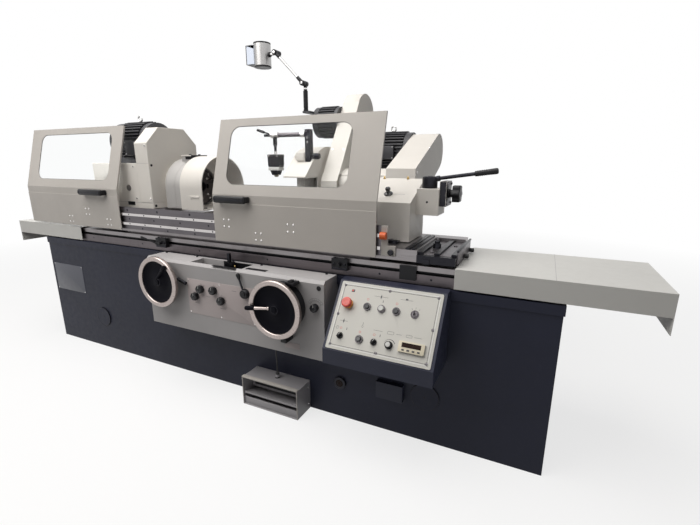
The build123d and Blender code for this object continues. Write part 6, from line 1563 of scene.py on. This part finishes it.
def make_camera():
    """Camera at the photo's view."""
    camera = bpy.data.cameras.new("camera")
    camera.sensor_width = 36.0
    camera.sensor_fit = "HORIZONTAL"
    camera.lens = 20.54
    camera.clip_end = 100.0
    eye = bpy.data.objects.new("camera", camera)
    eye.location = (1.4265, -1.8, 1.19625)
    eye.rotation_euler = (math.radians(90.0 - 14.285), 0.0, math.radians(25.564))
    bpy.context.scene.collection.objects.link(eye)
    bpy.context.scene.camera = eye


def make_floor():
    """Wide flat floor under the machine."""
    grid = bmesh.new()
    bmesh.ops.create_grid(grid, x_segments=1, y_segments=1, size=30.0)
    mesh = bpy.data.meshes.new("floor")
    grid.to_mesh(mesh)
    grid.free()
    mesh.materials.append(floor_material())
    floor = bpy.data.objects.new("floor", mesh)
    bpy.context.scene.collection.objects.link(floor)


def make_lamps():
    """Soft light from above, with weaker lamps at the front and the right."""
    lamps = [("ceiling", (-0.7, -0.8, 4.3), (-0.5, -0.2, 0.9), 5.0, 3.0, 174.0),
             ("front", (-1.3, -2.4, 3.0), (-0.7, -0.1, 1.0), 2.6, 1.2, 37.0),
             ("right", (4.6, -0.4, 2.4), (0.4, 0.0, 0.9), 2.6, 2.0, 4.0)]
    for name, place, target, width, depth, power in lamps:
        light = bpy.data.lights.new(name, "AREA")
        light.shape = "RECTANGLE"
        light.size = width
        light.size_y = depth
        light.energy = power
        light.color = LAMP_WARMTH
        lamp = bpy.data.objects.new(name, light)
        lamp.location = place
        lamp.rotation_euler = (Vector(target) - Vector(place)).to_track_quat("-Z", "Y").to_euler()
        bpy.context.scene.collection.objects.link(lamp)


def floor_material():
    """Pale floor that keeps a soft shadow near the machine and fades to the white background."""
    material = bpy.data.materials.new("floor")
    material.use_nodes = True
    tree = material.node_tree
    tree.nodes.clear()
    end = tree.nodes.new("ShaderNodeOutputMaterial")
    place = tree.nodes.new("ShaderNodeTexCoord").outputs["Object"]
    reach = tree.nodes.new("ShaderNodeVectorMath")
    reach.operation = "LENGTH"
    tree.links.new(place, reach.inputs[0])
    white = tree.nodes.new("ShaderNodeEmission")
    white.inputs["Color"].default_value = PURE_WHITE
    pale = tree.nodes.new("ShaderNodeBsdfDiffuse")
    pale.inputs["Color"].default_value = (0.9, 0.9, 0.9, 1.0)
    fade = add_range(tree, reach.outputs["Value"], 2.0, 6.0, 0.75, 1.0)
    shown = mix_shaders(tree, fade, pale, white)
    matt = tree.nodes.new("ShaderNodeBsdfDiffuse")
    matt.inputs["Color"].default_value = (0.3, 0.3, 0.3, 1.0)
    floor = mix_shaders(tree, seen_directly(tree), matt, shown)
    tree.links.new(floor.outputs[0], end.inputs["Surface"])
    return material


def mix_shaders(tree, factor, first, second):
    """A mix of two shader nodes by a factor socket."""
    mix = tree.nodes.new("ShaderNodeMixShader")
    tree.links.new(factor, mix.inputs["Fac"])
    tree.links.new(first.outputs[0], mix.inputs[1])
    tree.links.new(second.outputs[0], mix.inputs[2])
    return mix


def seen_directly(tree):
    """1 for camera, glossy and transmission rays."""
    path = tree.nodes.new("ShaderNodeLightPath")
    direct = add_math(tree, "MAXIMUM", path.outputs["Is Camera Ray"], path.outputs["Is Glossy Ray"])
    return add_math(tree, "MAXIMUM", direct, path.outputs["Is Transmission Ray"])


def build_world():
    """White behind the machine, with a softer white as its light."""
    world = bpy.data.worlds.new("studio")
    bpy.context.scene.world = world
    world.use_nodes = True
    tree = world.node_tree
    tree.nodes.clear()
    end = tree.nodes.new("ShaderNodeOutputWorld")
    backdrop = tree.nodes.new("ShaderNodeBackground")
    backdrop.inputs["Color"].default_value = PURE_WHITE
    strength = add_range(tree, seen_directly(tree), 0.0, 1.0, 0.10, 1.0)
    tree.links.new(strength, backdrop.inputs["Strength"])
    tree.links.new(backdrop.outputs[0], end.inputs["Surface"])
    bpy.context.scene.view_settings.view_transform = "Standard"


make_camera()
make_floor()
make_lamps()
build_world()
